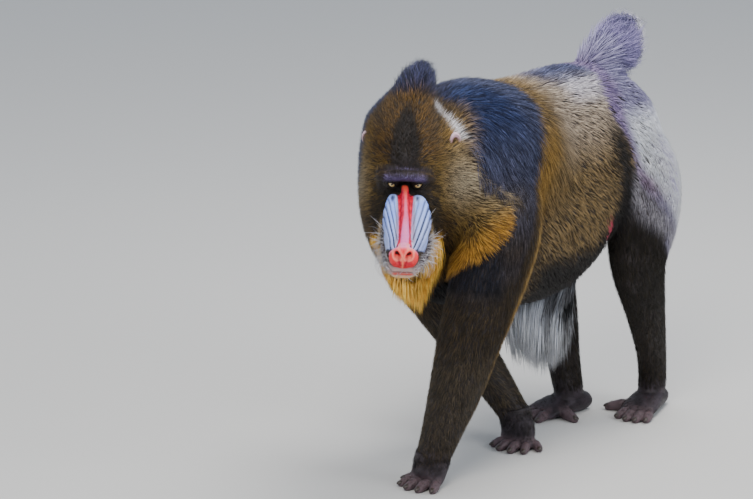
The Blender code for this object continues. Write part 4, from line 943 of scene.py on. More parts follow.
    # The head: speckled olive, a dark band up the brow, a blue-black crest, greyer cheeks, a golden rim.
    head, rim = ruff_share(local)
    head = head * step(-0.19, -0.17, lz)
    paint((40, 30, 12), (196, 156, 74), 0.56, head)
    paint((28, 20, 9), (132, 94, 36), 0.42, head * step(0.015, 0.05, lz) * step(0.078, 0.036, side) * 0.9)
    cheek = head * bump_at(lz, -0.005, 0.045) * step(0.045, 0.085, side)
    paint((84, 72, 56), (244, 226, 192), 0.7, cheek * 0.9)
    paint((34, 26, 14), (132, 100, 46), 0.42, head * step(-0.03, -0.07, lz) * step(0.09, 0.06, side))
    width = np.interp(lz, *FOREHEAD_BAND) + 0.004 * wave(points, 120, 42)
    band = head * step(width + 0.006, width - 0.004, np.abs(lx - 0.3 * (lz - 0.05).clip(0, 1) * 0.2))
    band *= step(0.125, 0.1, lz) * step(0.11, 0.08, ly)
    paint((16, 12, 10), (44, 33, 22), 0.2, band * 0.95)
    paint((28, 22, 20), (90, 72, 48), 0.34, head * bump_at(lz, 0.105, 0.022) * step(0.03, 0.05, side) * 0.6)
    crest = step(0.11, 0.132, lz + 0.35 * (ly - 0.11)) * step(0.05, 0.034, np.abs(lx - 0.016))
    crest = np.maximum(crest, step(0.14, 0.155, lz))
    paint((18, 19, 36), (74, 78, 122), 0.4, crest * step(0.25, 0.21, ly))
    paint((96, 64, 16), (216, 160, 62), 0.62, rim * 0.95)
    # The white streak above and behind each ear, the dark rings of the eyes and the golden beard.
    for sign in (1, -1):
        start, end = np.array((0.052 * sign, 0.09, 0.112)), np.array((0.087 * sign, 0.077, 0.064))
        t = np.clip((local - start) @ (end - start) / ((end - start) @ (end - start)), 0, 1)
        away = np.linalg.norm(local - start - t[:, None] * (end - start), axis=1)
        paint((206, 206, 216), (252, 250, 252), 0.92, step(0.0125, 0.0065, away))
    eyes = step(0.05, 0.02, np.hypot(lx * 0.72, lz + 0.004)) * step(0.045, 0.03, ly)
    paint((26, 19, 15), (60, 46, 32), 0.2, eyes * 0.85)
    beside = step(0.062, 0.046, side) * step(-0.015, -0.035, lz) * step(0.05, 0.03, ly)
    paint((24, 19, 17), (82, 68, 50), 0.26, beside * 0.8)
    beard = step(1.6, 1.2, near["beard"]) * step(-0.085, -0.1, lz) * step(0.02, 0.0, ly)
    jaw = step(-0.078, -0.098, lz) * step(0.062, 0.04, ly) * step(0.095, 0.07, side) * head
    paint((150, 96, 20), (246, 190, 76), 0.72, np.maximum(beard, jaw))
    # The tail: slate at its front edge, lilac in the middle, whitish at its tips.
    tail = step(1.45, 1.15, near["tail"]) * step(0.13, 0.165, y) * step(0.61, 0.635, z)
    paint((78, 76, 112), (172, 160, 212), 0.6, tail)
    paint((184, 182, 204), (255, 255, 255), 0.88, tail * step(0.218, 0.25, y))
    paint((56, 60, 92), (140, 146, 184), 0.45, tail * step(0.682, 0.7, z) * step(0.25, 0.21, y))
    return tones


def face_hair_tones(points):
    """The short hair of the bare face's edges, the brow, the lips and the chin."""
    _, out, high = on_muzzle(points).T
    local = local_to(HEAD, points)
    near_eyes = step(0.05, 0.034, np.abs(local[:, 0])) * step(0.03, 0.016, np.abs(local[:, 2] + 0.006))
    lip = step(-0.016, -0.03, high) * step(0.06, 0.095, out)
    chin = step(-0.044, -0.052, high) * step(0.0, 0.05, out)
    tones = coat_tones(points)
    tones.paint((26, 19, 16), (58, 43, 30), 0.3, near_eyes)
    tones.paint((26, 21, 20), (74, 60, 48), 0.3, step(0.01, 0.03, out) * 0.8)
    tones.paint((34, 29, 35), (96, 88, 100), 0.22, lip)
    tones.paint((150, 128, 124), (236, 224, 220), 0.62, lip * step(0.128, 0.143, out))
    tones.paint((196, 164, 116), (246, 222, 176), 0.8, chin)
    tones.paint((160, 100, 18), (250, 192, 64), 0.75, chin * step(-0.056, -0.066, high))
    return tones.paint((48, 38, 58), (152, 138, 190), 0.5, np.clip(face_masks(points)["brow"] * 1.1, 0, 1))


def hand_tones(points):
    return Tones(points, (24, 21, 22), (84, 76, 72), 0.35)


def whisker_tones(points):
    return Tones(points, (150, 146, 154), (246, 244, 248), 0.85)


def fringe_tones(points):
    """White, bluer in its depth, with black hair along its upper edge."""
    border = step(0.272, 0.29, points[:, 2] + 0.01 * wave(points, 110, 43)) * 0.9
    tones = Tones(points, (196, 202, 216), (248, 250, 255), 0.8)
    return tones.paint((20, 18, 18), (50, 44, 42), 0.8, border)


def beard_tones(points):
    """Cream under the lip and gold below it."""
    _, out, high = on_muzzle(points).T
    cream = step(-0.058, -0.05, high) * step(0.09, 0.12, out) * 0.5
    tones = Tones(points, (186, 118, 18), (255, 206, 70), 0.8)
    return tones.paint((206, 168, 96), (252, 226, 160), 0.8, cream)


# The lie of the hair.


def lie_of_hair(points, normals, near, rim, head):
    """Which way the hair lies at each point, how long and wide it is, and how it stands."""
    x, y, z = points.T
    lx, ly, lz = local_to(RUFF, points).T
    one = np.ones(len(points))
    flow, kinds, total = np.zeros((len(points), 3)), np.zeros((3, len(points))), 1e-9 * one

    def add(weight, direction, length, width, lift):
        nonlocal flow, kinds, total
        flow = flow + weight[:, None] * unit(direction)
        kinds = kinds + weight * np.stack([length * one, width * one, lift * one])
        total = total + weight

    def share(name):
        return np.exp(-16 * (near[name] - 0.95).clip(0, 3)) + 1e-6

    side = np.clip(np.abs(normals[:, 0]) - normals[:, 2].clip(-1, 0), 0, 1)
    back_down = np.stack([0 * one, one, -0.2 - 0.85 * side], 1)
    rear = step(0.14, 0.24, y)
    back_down = unit(back_down) * (1 - rear)[:, None] + np.array((0, 0.15, -1.0)) * rear[:, None]
    belly = step(0.4, 0.3, z) * step(-0.2, -0.12, y)
    long = 0.021 + 0.014 * belly + 0.006 * step(0.6, 0.65, z)
    add(share("trunk") * (1 - 0.9 * head), back_down, long, 0.0018, 0.17)
    drop = step(0.6, 0.45, z)
    mane_down = np.stack([0 * one, 1.0 - 0.85 * side - 0.55 * side * drop, -0.1 - side], 1)
    add(share("neck") * (1 - 0.97 * head), mane_down, 0.042, 0.0016, 0.17)
    low = step(0.3, 0.1, z)
    for name in ("arm_l", "arm_r", "leg_l", "leg_r"):
        ahead, here = (np.stack(between(LIMBS[name], 2, height)[:2], 1) for height in (z - 0.03, z))
        down = np.concatenate([ahead - here, -0.03 * one[:, None]], 1)
        down[:, 1] += 0.012 * step(0.28, 0.1, z) * (name[:3] == "arm")
        long = (0.022 - 0.008 * low) * step(0.025, 0.07, z).clip(0.3, 1)
        add(share(name) * (1 - 0.95 * head), down, long, 0.0015 - 0.0004 * low, 0.15)
    rise = lz.clip(0, 1) * 0.9 - 0.025 - (-lz).clip(0, 1) * 0.75
    away = turned_by(RUFF, np.stack([lx, 0.1 * one, rise], 1))
    front = step(0.1, 0.03, ly)
    long = 0.0125 + 0.008 * step(0.05, 0.11, ly) + 0.01 * rim
    long = long * (0.5 + 0.5 * step(0.03, 0.065, np.hypot(lx, lz)))
    add(share("head") * 1.6 + 1.2 * head, away, long, 0.00125, 0.42 * front + 0.26 * (1 - front))
    tail_flow = np.stack([x * 1.6, 0.55 * one, 0.15 + (z - 0.655) * 11], 1)
    add(share("tail") * 1.6, tail_flow, 0.05, 0.0014, 0.42)
    beard_flow = turned_by(RUFF, np.stack([0.02 - (lx - 0.02) * 6, 0.05 * one, -one], 1))
    add(share("beard") * step(-0.085, -0.11, lz) * 2.0, beard_flow, 0.034, 0.0016, 0.25)
    add(share("chest"), np.tile(np.array((0.04, -0.12, -1.0)), (len(points), 1)), 0.04, 0.0018, 0.18)
    return (flow / total[:, None], *(kinds / total))


def lie_on_face(points):
    """The same for the short hair of the bare face's edges, the brow, the lips and the chin."""
    x, out, high = on_muzzle(points).T
    lz = local_to(HEAD, points)[:, 2]
    brow = face_masks(points)["brow"]
    one = np.ones(len(points))
    outward = np.sign(x) * (0.5 + 12 * np.abs(x))
    flow = np.stack([outward, 0.8 * one, -0.25 - 0.2 * step(-0.02, -0.05, high)], 1)
    flow = mix(flow, np.stack([x * 14, -0.1 * one, 0.9 * one], 1), step(0.005, 0.011, lz))
    chin = step(-0.044, -0.054, high)
    flow = mix(flow, np.stack([x * 8, -0.35 * one, -one], 1), chin)
    length = 0.0085 + 0.004 * step(0.04, 0.055, np.abs(x)) - 0.0045 * bump_at(lz, 0.0, 0.012)
    length = length * (1 - 0.45 * step(0.06, 0.1, out)) + 0.01 * chin
    length = length * (1 - brow.clip(0, 1)) + 0.007 * brow.clip(0, 1)
    return turned_by(HEAD, flow), length, 0.00095 * one, 0.3 + 0.3 * brow + 0.1 * chin


class Skin:
    """A skin as arrays: triangles to root hair on, and a tree to lay it along."""

    def __init__(self, mesh):
        self.points, self.normals = points_of(mesh), normals_of(mesh)
        self.faces = triangles_of(mesh)
        a, b, c = (self.points[self.faces[:, k]] for k in range(3))
        self.areas = np.linalg.norm(np.cross(b - a, c - a), axis=1) / 2
        self.tree = BVHTree.FromPolygons(self.points.tolist(), self.faces.tolist())

    def nearest(self, points):
        """The skin's nearest places to some points, and its smooth normals there."""
        found = [self.tree.find_nearest(p) for p in points.tolist()]
        places = np.array([f[0] for f in found])
        index = np.array([f[2] for f in found])
        corners = self.points[self.faces[index]]
        a, b, c = corners[:, 0], corners[:, 1], corners[:, 2]
        total = np.linalg.norm(np.cross(b - a, c - a), axis=1) + 1e-15
        wa = np.linalg.norm(np.cross(b - places, c - places), axis=1) / total
        wb = np.linalg.norm(np.cross(c - places, a - places), axis=1) / total
        wc = (1 - wa - wb).clip(0, 1)
        n = self.normals[self.faces[index]]
        return places, unit(n[:, 0] * wa[:, None] + n[:, 1] * wb[:, None] + n[:, 2] * wc[:, None])

    def scatter(self, density, count, rng):
        """Points spread over the skin in keeping with a density given at its vertices."""
        weights = self.areas * density[self.faces].mean(1)
        picked = rng.choice(len(weights), count, p=weights / weights.sum())
        u, v = rng.random(count), rng.random(count)
        flip = u + v > 1
        u[flip], v[flip] = 1 - u[flip], 1 - v[flip]
        shares = np.stack([1 - u - v, u, v], 1)
        corners = self.faces[picked]
        places, normals = (carried(v, corners, shares) for v in (self.points, self.normals))
        return places, unit(normals), corners, shares


def carried(values, corners, shares):
    """Vertex values at scattered points."""
    if values.ndim == 1:
        return (values[corners] * shares).sum(1)
    return (values[corners] * shares[:, :, None]).sum(1)


def tuft_rows(skin, places, normals, flow, length, lift, rows, free, droop):
    """Each tuft's path over the skin, as rows of points, and the way out of the skin at each."""
    heading = unit(flow - normals * (flow * normals).sum(1)[:, None])
    surface = places.copy()
    paths, outs = [places - normals * ROOT_DEPTH], [normals]
    for k in range(1, rows + 1):
        share = k / rows
        ahead = (share - (k - 1) / rows) * length[:, None]
        surface, out = skin.nearest(surface + heading * ahead)
        heading = unit(heading - out * (heading * out).sum(1)[:, None])
        stand = (length * lift * share**1.15)[:, None]
        lying = surface + out * (stand + 0.0006)
        along = (heading * flow).sum(1).clip(0, 1)[:, None]
        bent = unit(lying - paths[-1]) * 0.45 * along + flow * 0.6 + np.array((0, 0, -droop))
        hanging = paths[-1] + unit(bent) * ahead
        paths.append(hanging if share > free else lying)
        outs.append(out)
    return np.stack(paths, 1), np.stack(outs, 1)


def tuft_mesh(name, paths, outs, width, colours, uv):
    """Closed three-sided tapering tufts, joined in one mesh, with their colours and bake map."""
    count, rows = paths.shape[0], paths.shape[1] - 1
    along = np.gradient(paths, axis=1)
    side = unit(np.cross(along, outs))
    up = unit(np.cross(side, along))
    ends = np.linspace(0, 1, rows + 1)
    half = width[:, None, None] / 2 * np.interp(ends[:-1], [0, 0.4, 1], [0.8, 1.0, 0.25])[None, :, None]
    body, side, up = paths[:, :-1], side[:, :-1] * half, up[:, :-1] * half * 2 * TUFT_THICKNESS
    rings = np.stack([body - side, body + side, body + up], 2)
    verts = np.concatenate([rings.reshape(count, rows * 3, 3), paths[:, -1:]], 1)
    verts[:, :, 2] = np.maximum(verts[:, :, 2], 2 * FLOOR_GAP)
    per = rows * 3 + 1
    pattern = [(0, 2, 1)]
    for k in range(rows - 1):
        for j in range(3):
            a, b = k * 3 + j, k * 3 + (j + 1) % 3
            pattern += [(a, b, b + 3), (a, b + 3, a + 3)]
    for j in range(3):
        pattern.append(((rows - 1) * 3 + j, (rows - 1) * 3 + (j + 1) % 3, rows * 3))
    faces = (np.arange(count)[:, None, None] * per + np.array(pattern)[None]).reshape(-1, 3)
    shares = np.concatenate([np.repeat(ends[:-1], 3), [1.0]])
    stops = np.array([0.0, 0.35, 0.7, 1.0])
    made = np.ones((count, per, 4), np.float32)
    for j, share in enumerate(shares):
        k = min(np.searchsorted(stops, share, side="right") - 1, 2)
        t = (share - stops[k]) / (stops[k + 1] - stops[k])
        made[:, j, :3] = colours[:, k] * (1 - t) + colours[:, k + 1] * t
    patch = np.stack([np.tile([-0.0012, 0.0012, 0.0], rows + 1)[:per], shares * 0.0026 - 0.0013], 1)
    patch[-1, 0] = 0.0
    mesh = solid_mesh(name, verts.reshape(-1, 3), faces, made.reshape(-1, 4))
    layer = mesh.uv_layers.new(name="OFBake")
    uvs = (uv[:, None, :] + patch[None]).reshape(-1, 2)
    layer.uv.foreach_set("vector", uvs[faces.ravel()].astype(np.float32).ravel())
    return mesh


def solid_mesh(name, verts, faces, colours=None):
    mesh = bpy.data.meshes.new(name)
    mesh.vertices.add(len(verts))
    mesh.vertices.foreach_set("co", (verts + np.array(SHIFT)).astype(np.float32).ravel())
    mesh.loops.add(len(faces) * 3)
    mesh.loops.foreach_set("vertex_index", faces.astype(np.int32).ravel())
    mesh.polygons.add(len(faces))
    mesh.polygons.foreach_set("loop_start", np.arange(len(faces), dtype=np.int32) * 3)
    mesh.update(calc_edges=True)
    mesh.polygons.foreach_set("use_smooth", np.ones(len(faces), bool))
    if colours is not None:
        if colours.shape[1] == 3:
            colours = np.concatenate([colours, np.ones((len(colours), 1))], 1)
        layer = mesh.color_attributes.new("coat", "FLOAT_COLOR", "POINT")
        layer.data.foreach_set("color", np.clip(colours, 0, 1).astype(np.float32).ravel())
    return mesh


def hair_colours(points, rng, rows, tones):
    """Each tuft's colours from root to tip: a dark root, darkened further as painted shade deep in the coat,
    a band that is often light, and a darker tip.
    """
    found = tones(points)
    dark, pale, count = found.dark, found.pale, len(points)
    lit = 0.5 * cells(points, SPECKLE) + 0.5 * rng.random(count) < 0.5 + (found.share - 0.5) * 0.75
    strength = np.where(lit, rng.uniform(0.65, 1.0, count), rng.uniform(0.0, 0.3, count))
    band = mix(dark, pale, strength) * rng.uniform(0.86, 1.14, (count, 1))
    tip = mix(dark, band, rng.uniform(0.55, 1.0, count))
    if tones is beard_tones:
        gold = mix(light(216, 148, 30), light(255, 218, 104), rng.random(count))
        return np.stack([mix(dark, pale, 0.6), mix(band, gold, 0.5), gold, gold], 1)
    # painted shade: below the band the hair goes to 0.8 of its dark tone, and in tufts of more than one row
    # the root to 0.55 of it
    root = mix(dark, band, 0.62) if rows == 1 else dark * 0.55
    return np.stack([root, mix(dark * 0.8, band, 0.45), band, tip], 1)


def round_map(points, origin, axis, start, low, high):
    """An unwrap round an axis: the angle across the map, and the way along the axis up it."""
    axis, start = np.array(axis, float), np.array(start, float)
    away = points - np.array(origin)
    angle = np.arctan2(away @ np.cross(axis, start), away @ start) / (2 * np.pi) + 0.5
    along = (away @ axis - low) / (high - low)
    return np.stack([0.004 + 0.992 * angle, 0.004 + 0.992 * np.clip(along, 0, 1)], 1)


def bake_map(name, points):
    """Each tuft's place on an unwrap of the skin under it, round that part's own axis."""
    if name.startswith(("arm", "leg")):
        x, y = (points[:, k] - v for k, v in enumerate(between(LIMBS[name], 2, points[:, 2])[:2]))
        centred = np.stack([x, y, points[:, 2]], 1)
        return round_map(centred, (0, 0, 0), UP, (1 if name.endswith("l") else -1, 0, 0), 0.0, 0.6)
    if name in ("head", "face", "ruff"):
        return round_map(local_to(RUFF, points), (0, 0.11, 0), UP, (0, -1, 0), -0.25, 0.22)
    if name == "beard":
        return round_map(local_to(RUFF, points), (0.005, -0.02, 0), UP, (0, -1, 0), -0.26, -0.02)
    if name == "tail":
        return round_map(points, (0, 0, 0.655), (0, 1, 0), UP, 0.1, 0.32)
    return round_map(points, (0, 0, 0.47), (0, 1, 0), UP, -0.42, 0.3)


# Materials, camera, floor and light.


def shader_of(name, roughness, specular=None):
    made = bpy.data.materials.new(name)
    made.use_nodes = True
    shader = made.node_tree.nodes["Principled BSDF"]
    shader.inputs["Roughness"].default_value = roughness
    if specular is not None:
        shader.inputs["Specular IOR Level"].default_value = specular
    return made, made.node_tree.nodes, made.node_tree.links, shader


def painted(name, roughness, specular, scale, detail, spread):
    """A material in the mesh's own colours, made uneven by a fine noise."""
    made, nodes, links, shader = shader_of(name, roughness, specular)
    colour = nodes.new("ShaderNodeVertexColor")
    colour.layer_name = "coat"
    place = nodes.new("ShaderNodeTexCoord")
    noise = nodes.new("ShaderNodeTexNoise")
    noise.inputs["Scale"].default_value = scale
    noise.inputs["Detail"].default_value = detail
    links.new(place.outputs["Object"], noise.inputs["Vector"])
    tint = nodes.new("ShaderNodeMapRange")
    tint.inputs["To Min"].default_value = 1 - spread
    tint.inputs["To Max"].default_value = 1 + spread
    links.new(noise.outputs["Fac"], tint.inputs["Value"])
    mixer = nodes.new("ShaderNodeVectorMath")
    mixer.operation = "MULTIPLY"
    links.new(colour.outputs["Color"], mixer.inputs[0])
    links.new(tint.outputs["Result"], mixer.inputs[1])
    links.new(mixer.outputs["Vector"], shader.inputs["Base Color"])
    return made, nodes, links, shader, place, noise


def skin_material():
    made, nodes, links, shader, place, noise = painted("skin", 0.48, 0.22, 700.0, 4.0, 0.14)
    pores = nodes.new("ShaderNodeTexVoronoi")
    pores.inputs["Scale"].default_value = 520.0
    links.new(place.outputs["Object"], pores.inputs["Vector"])
    joined = nodes.new("ShaderNodeMath")
    joined.operation = "ADD"
    links.new(noise.outputs["Fac"], joined.inputs[0])
    links.new(pores.outputs["Distance"], joined.inputs[1])
    bump = nodes.new("ShaderNodeBump")
    bump.inputs["Strength"].default_value = 0.35
    bump.inputs["Distance"].default_value = 0.0006
    links.new(joined.outputs["Value"], bump.inputs["Height"])
    links.new(bump.outputs["Normal"], shader.inputs["Normal"])
    shader.inputs["Subsurface Weight"].default_value = 0.03
    shader.inputs["Subsurface Scale"].default_value = 0.004
    return made


def placed(obj, place, toward):
    """Stand a camera or lamp at a place and turn it."""
    bpy.context.scene.collection.objects.link(obj)
    obj.location = place
    obj.rotation_mode = "QUATERNION"
    obj.rotation_quaternion = Vector(toward).to_track_quat("-Z", "Y")


def build_stage():
    target = Vector((-0.217, -0.186, 0.3378)) + SHIFT
    azimuth, elevation, distance = math.radians(40), math.radians(14), 6.0
    level = math.cos(elevation)
    back = Vector((math.sin(azimuth) * level, -math.cos(azimuth) * level, math.sin(elevation)))
    data = bpy.data.cameras.new("camera")
    data.sensor_width = SENSOR_WIDTH
    data.lens = FOCAL_LENGTH / PHOTO_WIDTH * SENSOR_WIDTH
    camera = bpy.data.objects.new("camera", data)
    placed(camera, target + back * distance, -back)
    bpy.context.scene.camera = camera
    bm = bmesh.new()
    bmesh.ops.create_grid(bm, x_segments=8, y_segments=8, size=40.0)
    made, _, _, shader = shader_of("floor", 0.9)
    shader.inputs["Base Color"].default_value = (0.62, 0.61, 0.59, 1)
    link("floor", mesh_of("floor", bm), made)
    world = bpy.data.worlds.new("world")
    bpy.context.scene.world = world
    world.use_nodes = True
    sky = world.node_tree.nodes["Background"]
    sky.inputs["Color"].default_value = (0.8, 0.88, 1.0, 1)
    sky.inputs["Strength"].default_value = 0.75
    for name, place, size, power, tone in (
        ("key", (1.3, -2.6, 3.2), 1.6, 95, (1.0, 0.96, 0.9)),
        ("top", (0.3, 0.9, 3.4), 1.8, 85, (1.0, 0.97, 0.93)),
        ("side", (3.2, 0.6, 1.9), 1.6, 40, (0.95, 0.97, 1.0)),
    ):
        lamp = bpy.data.lights.new(name, "AREA")
        lamp.size, lamp.energy, lamp.color = size, power, tone
        placed(bpy.data.objects.new(name, lamp), place, Vector((0.05, -0.05, 0.4)) - Vector(place))


# The coat, laid region by region in pieces.

REGIONS = (
    # name, tufts, rows, slot, how far hair strays sideways
    ("trunk", 30000, 2, "coat", 0.16),
    ("neck", 20500, 2, "mane", 0.12),
    ("head", 45000, 1, "coat", 0.24),
    ("arm_l", 23000, 1, "coat", 0.16),
    ("arm_r", 20000, 1, "coat", 0.16),
    ("leg_l", 23000, 1, "coat", 0.16),
    ("leg_r", 20000, 1, "coat", 0.16),
    ("tail", 4500, 3, "rump", 0.16),
    ("chest", 5500, 2, "mane", 0.16),
)
BEARD_END = (
    # to the left of the eyes' middle, and how far below them the beard reaches there
    (-0.05, -0.035, -0.02, -0.01, 0.01, 0.033, 0.045, 0.058, 0.075),
    (-0.115, -0.135, -0.154, -0.166, -0.178, -0.206, -0.19, -0.176, -0.158),
)
FRINGE_END = ([-0.1, -0.05, 0.0, 0.05, 0.12], [0.215, 0.175, 0.158, 0.168, 0.215])


def laid(
    name, slot, source, density, count, rows, lie, seed,
    tones=coat_tones, sway=0.16, spread=0.25, free=NEVER_FREE, droop=0.0, on=None,
):
    """One layer of the coat: roots scattered by a density, hair laid from them, and its meshes.

    A lie is the hair's flow, length, width and lift; past the share of its length that free tells, it hangs.
    """
    rng = np.random.default_rng(SEED + seed)
    count = int(count * HAIR_SHARE)
    places, normals, corners, shares = source.scatter(density, count, rng)
    each = np.ones(len(source.points))
    flow, length, width, lift = (carried(v if np.ndim(v) else v * each, corners, shares) for v in lie)
    flow = unit(flow)
    swing = rng.normal(0, sway, count) + 0.8 * sway * wave(places, 70, 21)
    flow = unit(flow + np.cross(normals, flow) * swing[:, None])
    length = length * rng.uniform(1 - spread, 1 + spread, count)
    lift = lift * rng.uniform(0.6, 1.4, count)
    width = width * rng.uniform(0.8, 1.2, count) * HAIR_GROWTH
    paths, outs = tuft_rows(source, places, normals, flow, length, lift, rows, free, droop)
    colours = hair_colours(places, rng, rows, tones)
    where = bake_map(on or name, places)
    parts = math.ceil(count * (6 * rows - 2) / PIECE_LIMIT)
    for part, pick in enumerate(np.array_split(np.arange(count), parts)):
        title = f"coat_{name}" + (f"_{part + 1}" if part else "")
        yield tuft_mesh(title, paths[pick], outs[pick], width[pick], colours[pick], where[pick]), slot


def grown_coat(skin, face, hands):
    """The whole coat's meshes, each with its slot."""
    near = nearness(skin.points)
    x, y, z = skin.points.T
    wide, one = np.abs(x), np.ones(len(x))
    local = local_to(RUFF, skin.points)
    lx, ly, lz = local.T
    head, rim = ruff_share(local)
    lie = lie_of_hair(skin.points, skin.normals, near, rim, head)
    names = [row[0] for row in REGIONS] + ["beard"]
    stacked = np.stack([near[name] for name in names])
    stacked[names.index("head")] -= 0.35 * head
    nearest = np.array(names)[np.argmin(stacked, 0)]
    bare = step(0.19, 0.245, y) * step(1.2, 0.6, np.hypot(wide / 0.05, (z - 0.508) / 0.085))
    base = step(0.018, 0.04, z) * (1 - 0.92 * bare) * (1 - 0.97 * groin_patch(skin.points))
    face_front = step(0.012, 0.0, ly) * step(0.055, 0.045, np.abs(lx))
    face_front *= step(0.012, -0.005, lz) * step(-0.1, -0.08, lz)
    for seed, (name, count, rows, slot, sway) in enumerate(REGIONS):
        density = base * (nearest == name)
        if name == "head":
            density = density * (1 - 0.9 * face_front)
        if name[:3] in ("arm", "leg"):
            density = density * (1 + 0.6 * step(0.3, 0.1, z))
        yield from laid(name, slot, skin, density, count, rows, lie, seed, sway=sway)
    # Long hair: the crest and the ruff's golden rim.
    crest = step(0.118, 0.142, lz) * step(0.05, 0.03, np.abs(lx - 0.012)) * step(0.24, 0.2, ly)
    up = turned_by(RUFF, np.stack([(lx - 0.012) * 3 + 0.1, 0.95 * one, 0.75 * one], 1))
    edge = (rim > 0.25) * (nearest != "beard")
    long = 0.018 + 0.014 * crest + 0.01 * rim
    long_lie = (mix(lie[0], up, crest), long, 0.0013, 0.28 + 0.2 * crest)
    yield from laid("ruff", "mane", skin, base * (crest * 0.8 + edge), 4500, 3, long_lie, 20)
    # The white fringe that hangs from the belly.
    clear = np.minimum.reduce([near[name] for name in ("arm_l", "arm_r", "leg_l", "leg_r")])
    keel = step(0.062, 0.046, wide) * step(0.3, 0.275, z) * step(-0.095, -0.065, y) * step(0.145, 0.11, y)
    keel = keel * (clear > 1.25) * (z > 0.17)
    hang = np.stack([-2.2 * x, 0.1 - 0.8 * (y - 0.01), -one], 1)
    long = (1.25 * (z - np.interp(y, *FRINGE_END)) + 0.012).clip(0.03, 0.14)
    ways = {"tones": fringe_tones, "sway": 0.1, "spread": 0.18, "free": 0.15, "droop": 0.1, "on": "trunk"}
    yield from laid("fringe", "coat", skin, keel, 3600, 3, (hang, long, 0.0019, 0.08), 21, **ways)
    # The beard, from the chin, the jaw and the ruff under it, down to a point a little left of the middle.
    fx, out, high = on_muzzle(face.points).T
    jaw = step(-0.078, -0.098, lz) * step(0.066, 0.044, ly) * step(0.095, 0.07, np.abs(lx))
    root = base * np.maximum(jaw * (nearest == "head"), (nearest == "beard") * 0.8)
    under = step(-0.046, -0.054, high) * step(-0.02, 0.02, out) * (face.normals[:, 2] < 0.4)
    ways = {"tones": beard_tones, "sway": 0.12, "spread": 0.24, "free": 0.1, "droop": 0.25, "on": "beard"}
    for name, source, density, count, seed in (
        ("beard", face, under, 3300, 22),
        ("beard_root", skin, root, 3700, 23),
    ):
        left, _, above = local_to(RUFF, source.points).T
        full = np.ones(len(left))
        down = turned_by(RUFF, np.stack([0.05 + 1.5 * (left - 0.02), -0.12 * full, -full], 1))
        long = (above - np.interp(left, *BEARD_END)).clip(0.012, 0.062)
        yield from laid(name, "beard", source, density, count, 3, (down, long, 0.0013, 0.25), seed, **ways)
    # Short dark hair over the backs of the hands and feet.
    hz = hands.points[:, 2]
    back = step(-0.1, 0.35, hands.normals[:, 2] + 0.5 * step(0.025, 0.05, hz)) * step(0.006, 0.016, hz)
    down = mix(np.array([[0.15, -0.9, -0.5]]), np.array([[0.0, -0.25, -1.0]]), step(0.03, 0.055, hz))
    hand_lie = (down, 0.0075 + 0.005 * step(0.02, 0.05, hz), 0.001, 0.16)
    ways = {"tones": hand_tones, "sway": 0.2, "spread": 0.3, "on": "trunk"}
    yield from laid("hands", "hand", hands, back, 9000, 1, hand_lie, 26, **ways)
    # The face's short hair, and the white whiskers at the sides of the mouth.
    masks = face_masks(face.points)
    fy = local_to(HEAD, face.points)[:, 1]
    bare = np.maximum.reduce([masks["blue"], masks["red"], masks["disc"], masks["lips"], masks["lids"] * 0.9])
    hidden = step(0.03, 0.045, fy) * step(-0.01, 0.02, -out)
    grow = (1 - np.clip(bare * 1.3, 0, 1)) * (1 - 0.85 * hidden) * (1 + 0.8 * masks["brow"].clip(0, 1))
    grow *= step(0.0002, 0.0014, both_eyes(face.points) + (fy > 0.024))
    ways = {"tones": face_hair_tones, "sway": 0.3, "spread": 0.3}
    yield from laid("face", "face", face, grow, 16500, 1, lie_on_face(face.points), 24, **ways)
    sides = step(-0.012, -0.022, high) * (1 - step(-0.044, -0.052, high)) * step(0.055, 0.085, out)
    sides = sides * (1 - masks["disc"]) * (1 - masks["blue"]) * (0.45 + step(0.012, 0.026, np.abs(fx)))
    outward = np.sign(fx) * (0.35 + 16 * np.abs(fx))
    fan = np.stack([outward, 0.25 - 4.0 * (out - 0.09), -0.35 + 14 * (high + 0.03)], 1)
    long = 0.01 + 0.021 * step(0.018, 0.034, np.abs(fx))
    fan_lie = (turned_by(HEAD, fan), long, 0.00056, 0.55)
    ways = {"tones": whisker_tones, "sway": 0.35, "spread": 0.55, "on": "face"}
    yield from laid("whiskers", "face", face, sides, 300, 3, fan_lie, 25, **ways)


def ride(obj, slot, *replaced):
    if replaced:
        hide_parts(*replaced)
    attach(obj, "root")


def build():
    build_stage()
    meshes = [body_mesh(), hands_mesh(), face_mesh(), ears_mesh()]
    skin, hands, face = (Skin(mesh) for mesh in meshes[:3])
    points, faces, colours, offset = [], [], [], 0
    for mesh, paint in zip(meshes, (skin_colours, skin_colours, face_colours, ear_colours)):
        p = above_floor(points_of(mesh))
        points.append(p)
        faces.append(triangles_of(mesh) + offset)
        colours.append(paint(p))
        offset += len(p)
    points, faces, colours = np.concatenate(points), np.concatenate(faces), np.concatenate(colours)
    whole = link("skin", solid_mesh("skin", points, faces, colours), skin_material())
    print("skin triangles", len(faces))
    ride(whole, "face", *[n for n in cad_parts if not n.startswith("eye_")])
    fur = painted("fur", 0.62, 0.35, 900.0, 2.0, 0.18)[0]
    for mesh, slot in grown_coat(skin, face, hands):
        ride(link(mesh.name, mesh, fur), slot)
        print(mesh.name, len(mesh.polygons))
    for sign, name in ((1, "eye_l"), (-1, "eye_r")):
        build_eye(sign, name)
    build_nails()


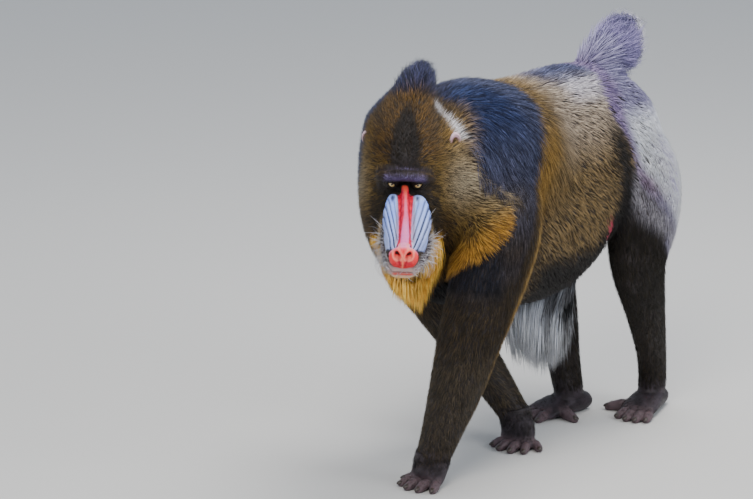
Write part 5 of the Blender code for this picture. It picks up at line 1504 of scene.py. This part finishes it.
def build_nails():
    """A small dark nail on the end of every finger and toe."""
    bm = bmesh.new()
    for row in sum(DIGITS.values(), []):
        radius = row[6]
        along = (Vector((*row[4:6], 0)) - Vector((*row[2:4], 0))).normalized()
        axes = Matrix((UP.cross(along), along, UP)).transposed() @ Matrix.Rotation(math.radians(-24), 3, "X")
        spot = Vector((*row[4:6], radius * 1.02)) + along * radius * 0.42
        ellipsoid_into(bm, spot, axes, (radius * 0.6, radius * 0.78, radius * 0.34), 16, 10)
    mesh = mesh_of("nails", bm)
    made, _, _, shader = shader_of("nail", 0.35)
    shader.inputs["Base Color"].default_value = (*light(58, 48, 44), 1)
    ride(link("nails", solid_mesh("nails", points_of(mesh), triangles_of(mesh)), made), "hand")


def build_eye(sign, name):
    """An eyeball with a dark rim, an amber iris and a round pupil, under a clear wet surface."""
    bm = bmesh.new()
    made = bmesh.ops.create_uvsphere(bm, u_segments=48, v_segments=32, radius=EYE_RADIUS)
    bmesh.ops.rotate(bm, verts=made["verts"], matrix=Matrix.Rotation(math.radians(90), 3, "X"))
    mesh = mesh_of(name, bm)
    points = points_of(mesh)
    radius = np.hypot(points[:, 0], points[:, 2])
    front = points[:, 1] < 0
    iris = front & (radius < IRIS_RADIUS)
    angle = np.arctan2(points[:, 2], points[:, 0])
    amber = mix(light(240, 214, 150), light(190, 146, 80), step(0.0034, 0.0058, radius))
    amber = mix(amber, light(236, 206, 140), 0.4 * (np.sin(angle * 24) > 0))
    colour = np.where(iris[:, None], amber, light(58, 38, 26))
    colour = np.where((front & (radius < PUPIL_RADIUS))[:, None], light(8, 6, 6), colour)
    points[:, 1] -= np.where(iris, 0.001 * (1 - (radius / IRIS_RADIUS) ** 2), 0)
    spot = HEAD @ Vector((sign * EYE_SPACING / 2, EYE_DEPTH, 0))
    whole = solid_mesh(name, turned_by(HEAD, points) + np.array(spot), triangles_of(mesh), colour)
    made, nodes, links, shader = shader_of("eye", 0.12)
    tone = nodes.new("ShaderNodeVertexColor")
    tone.layer_name = "coat"
    links.new(tone.outputs["Color"], shader.inputs["Base Color"])
    shader.inputs["Coat Weight"].default_value = 0.8
    ride(link("eyeball_" + name[-1], whole, made), "eye", name)


build()
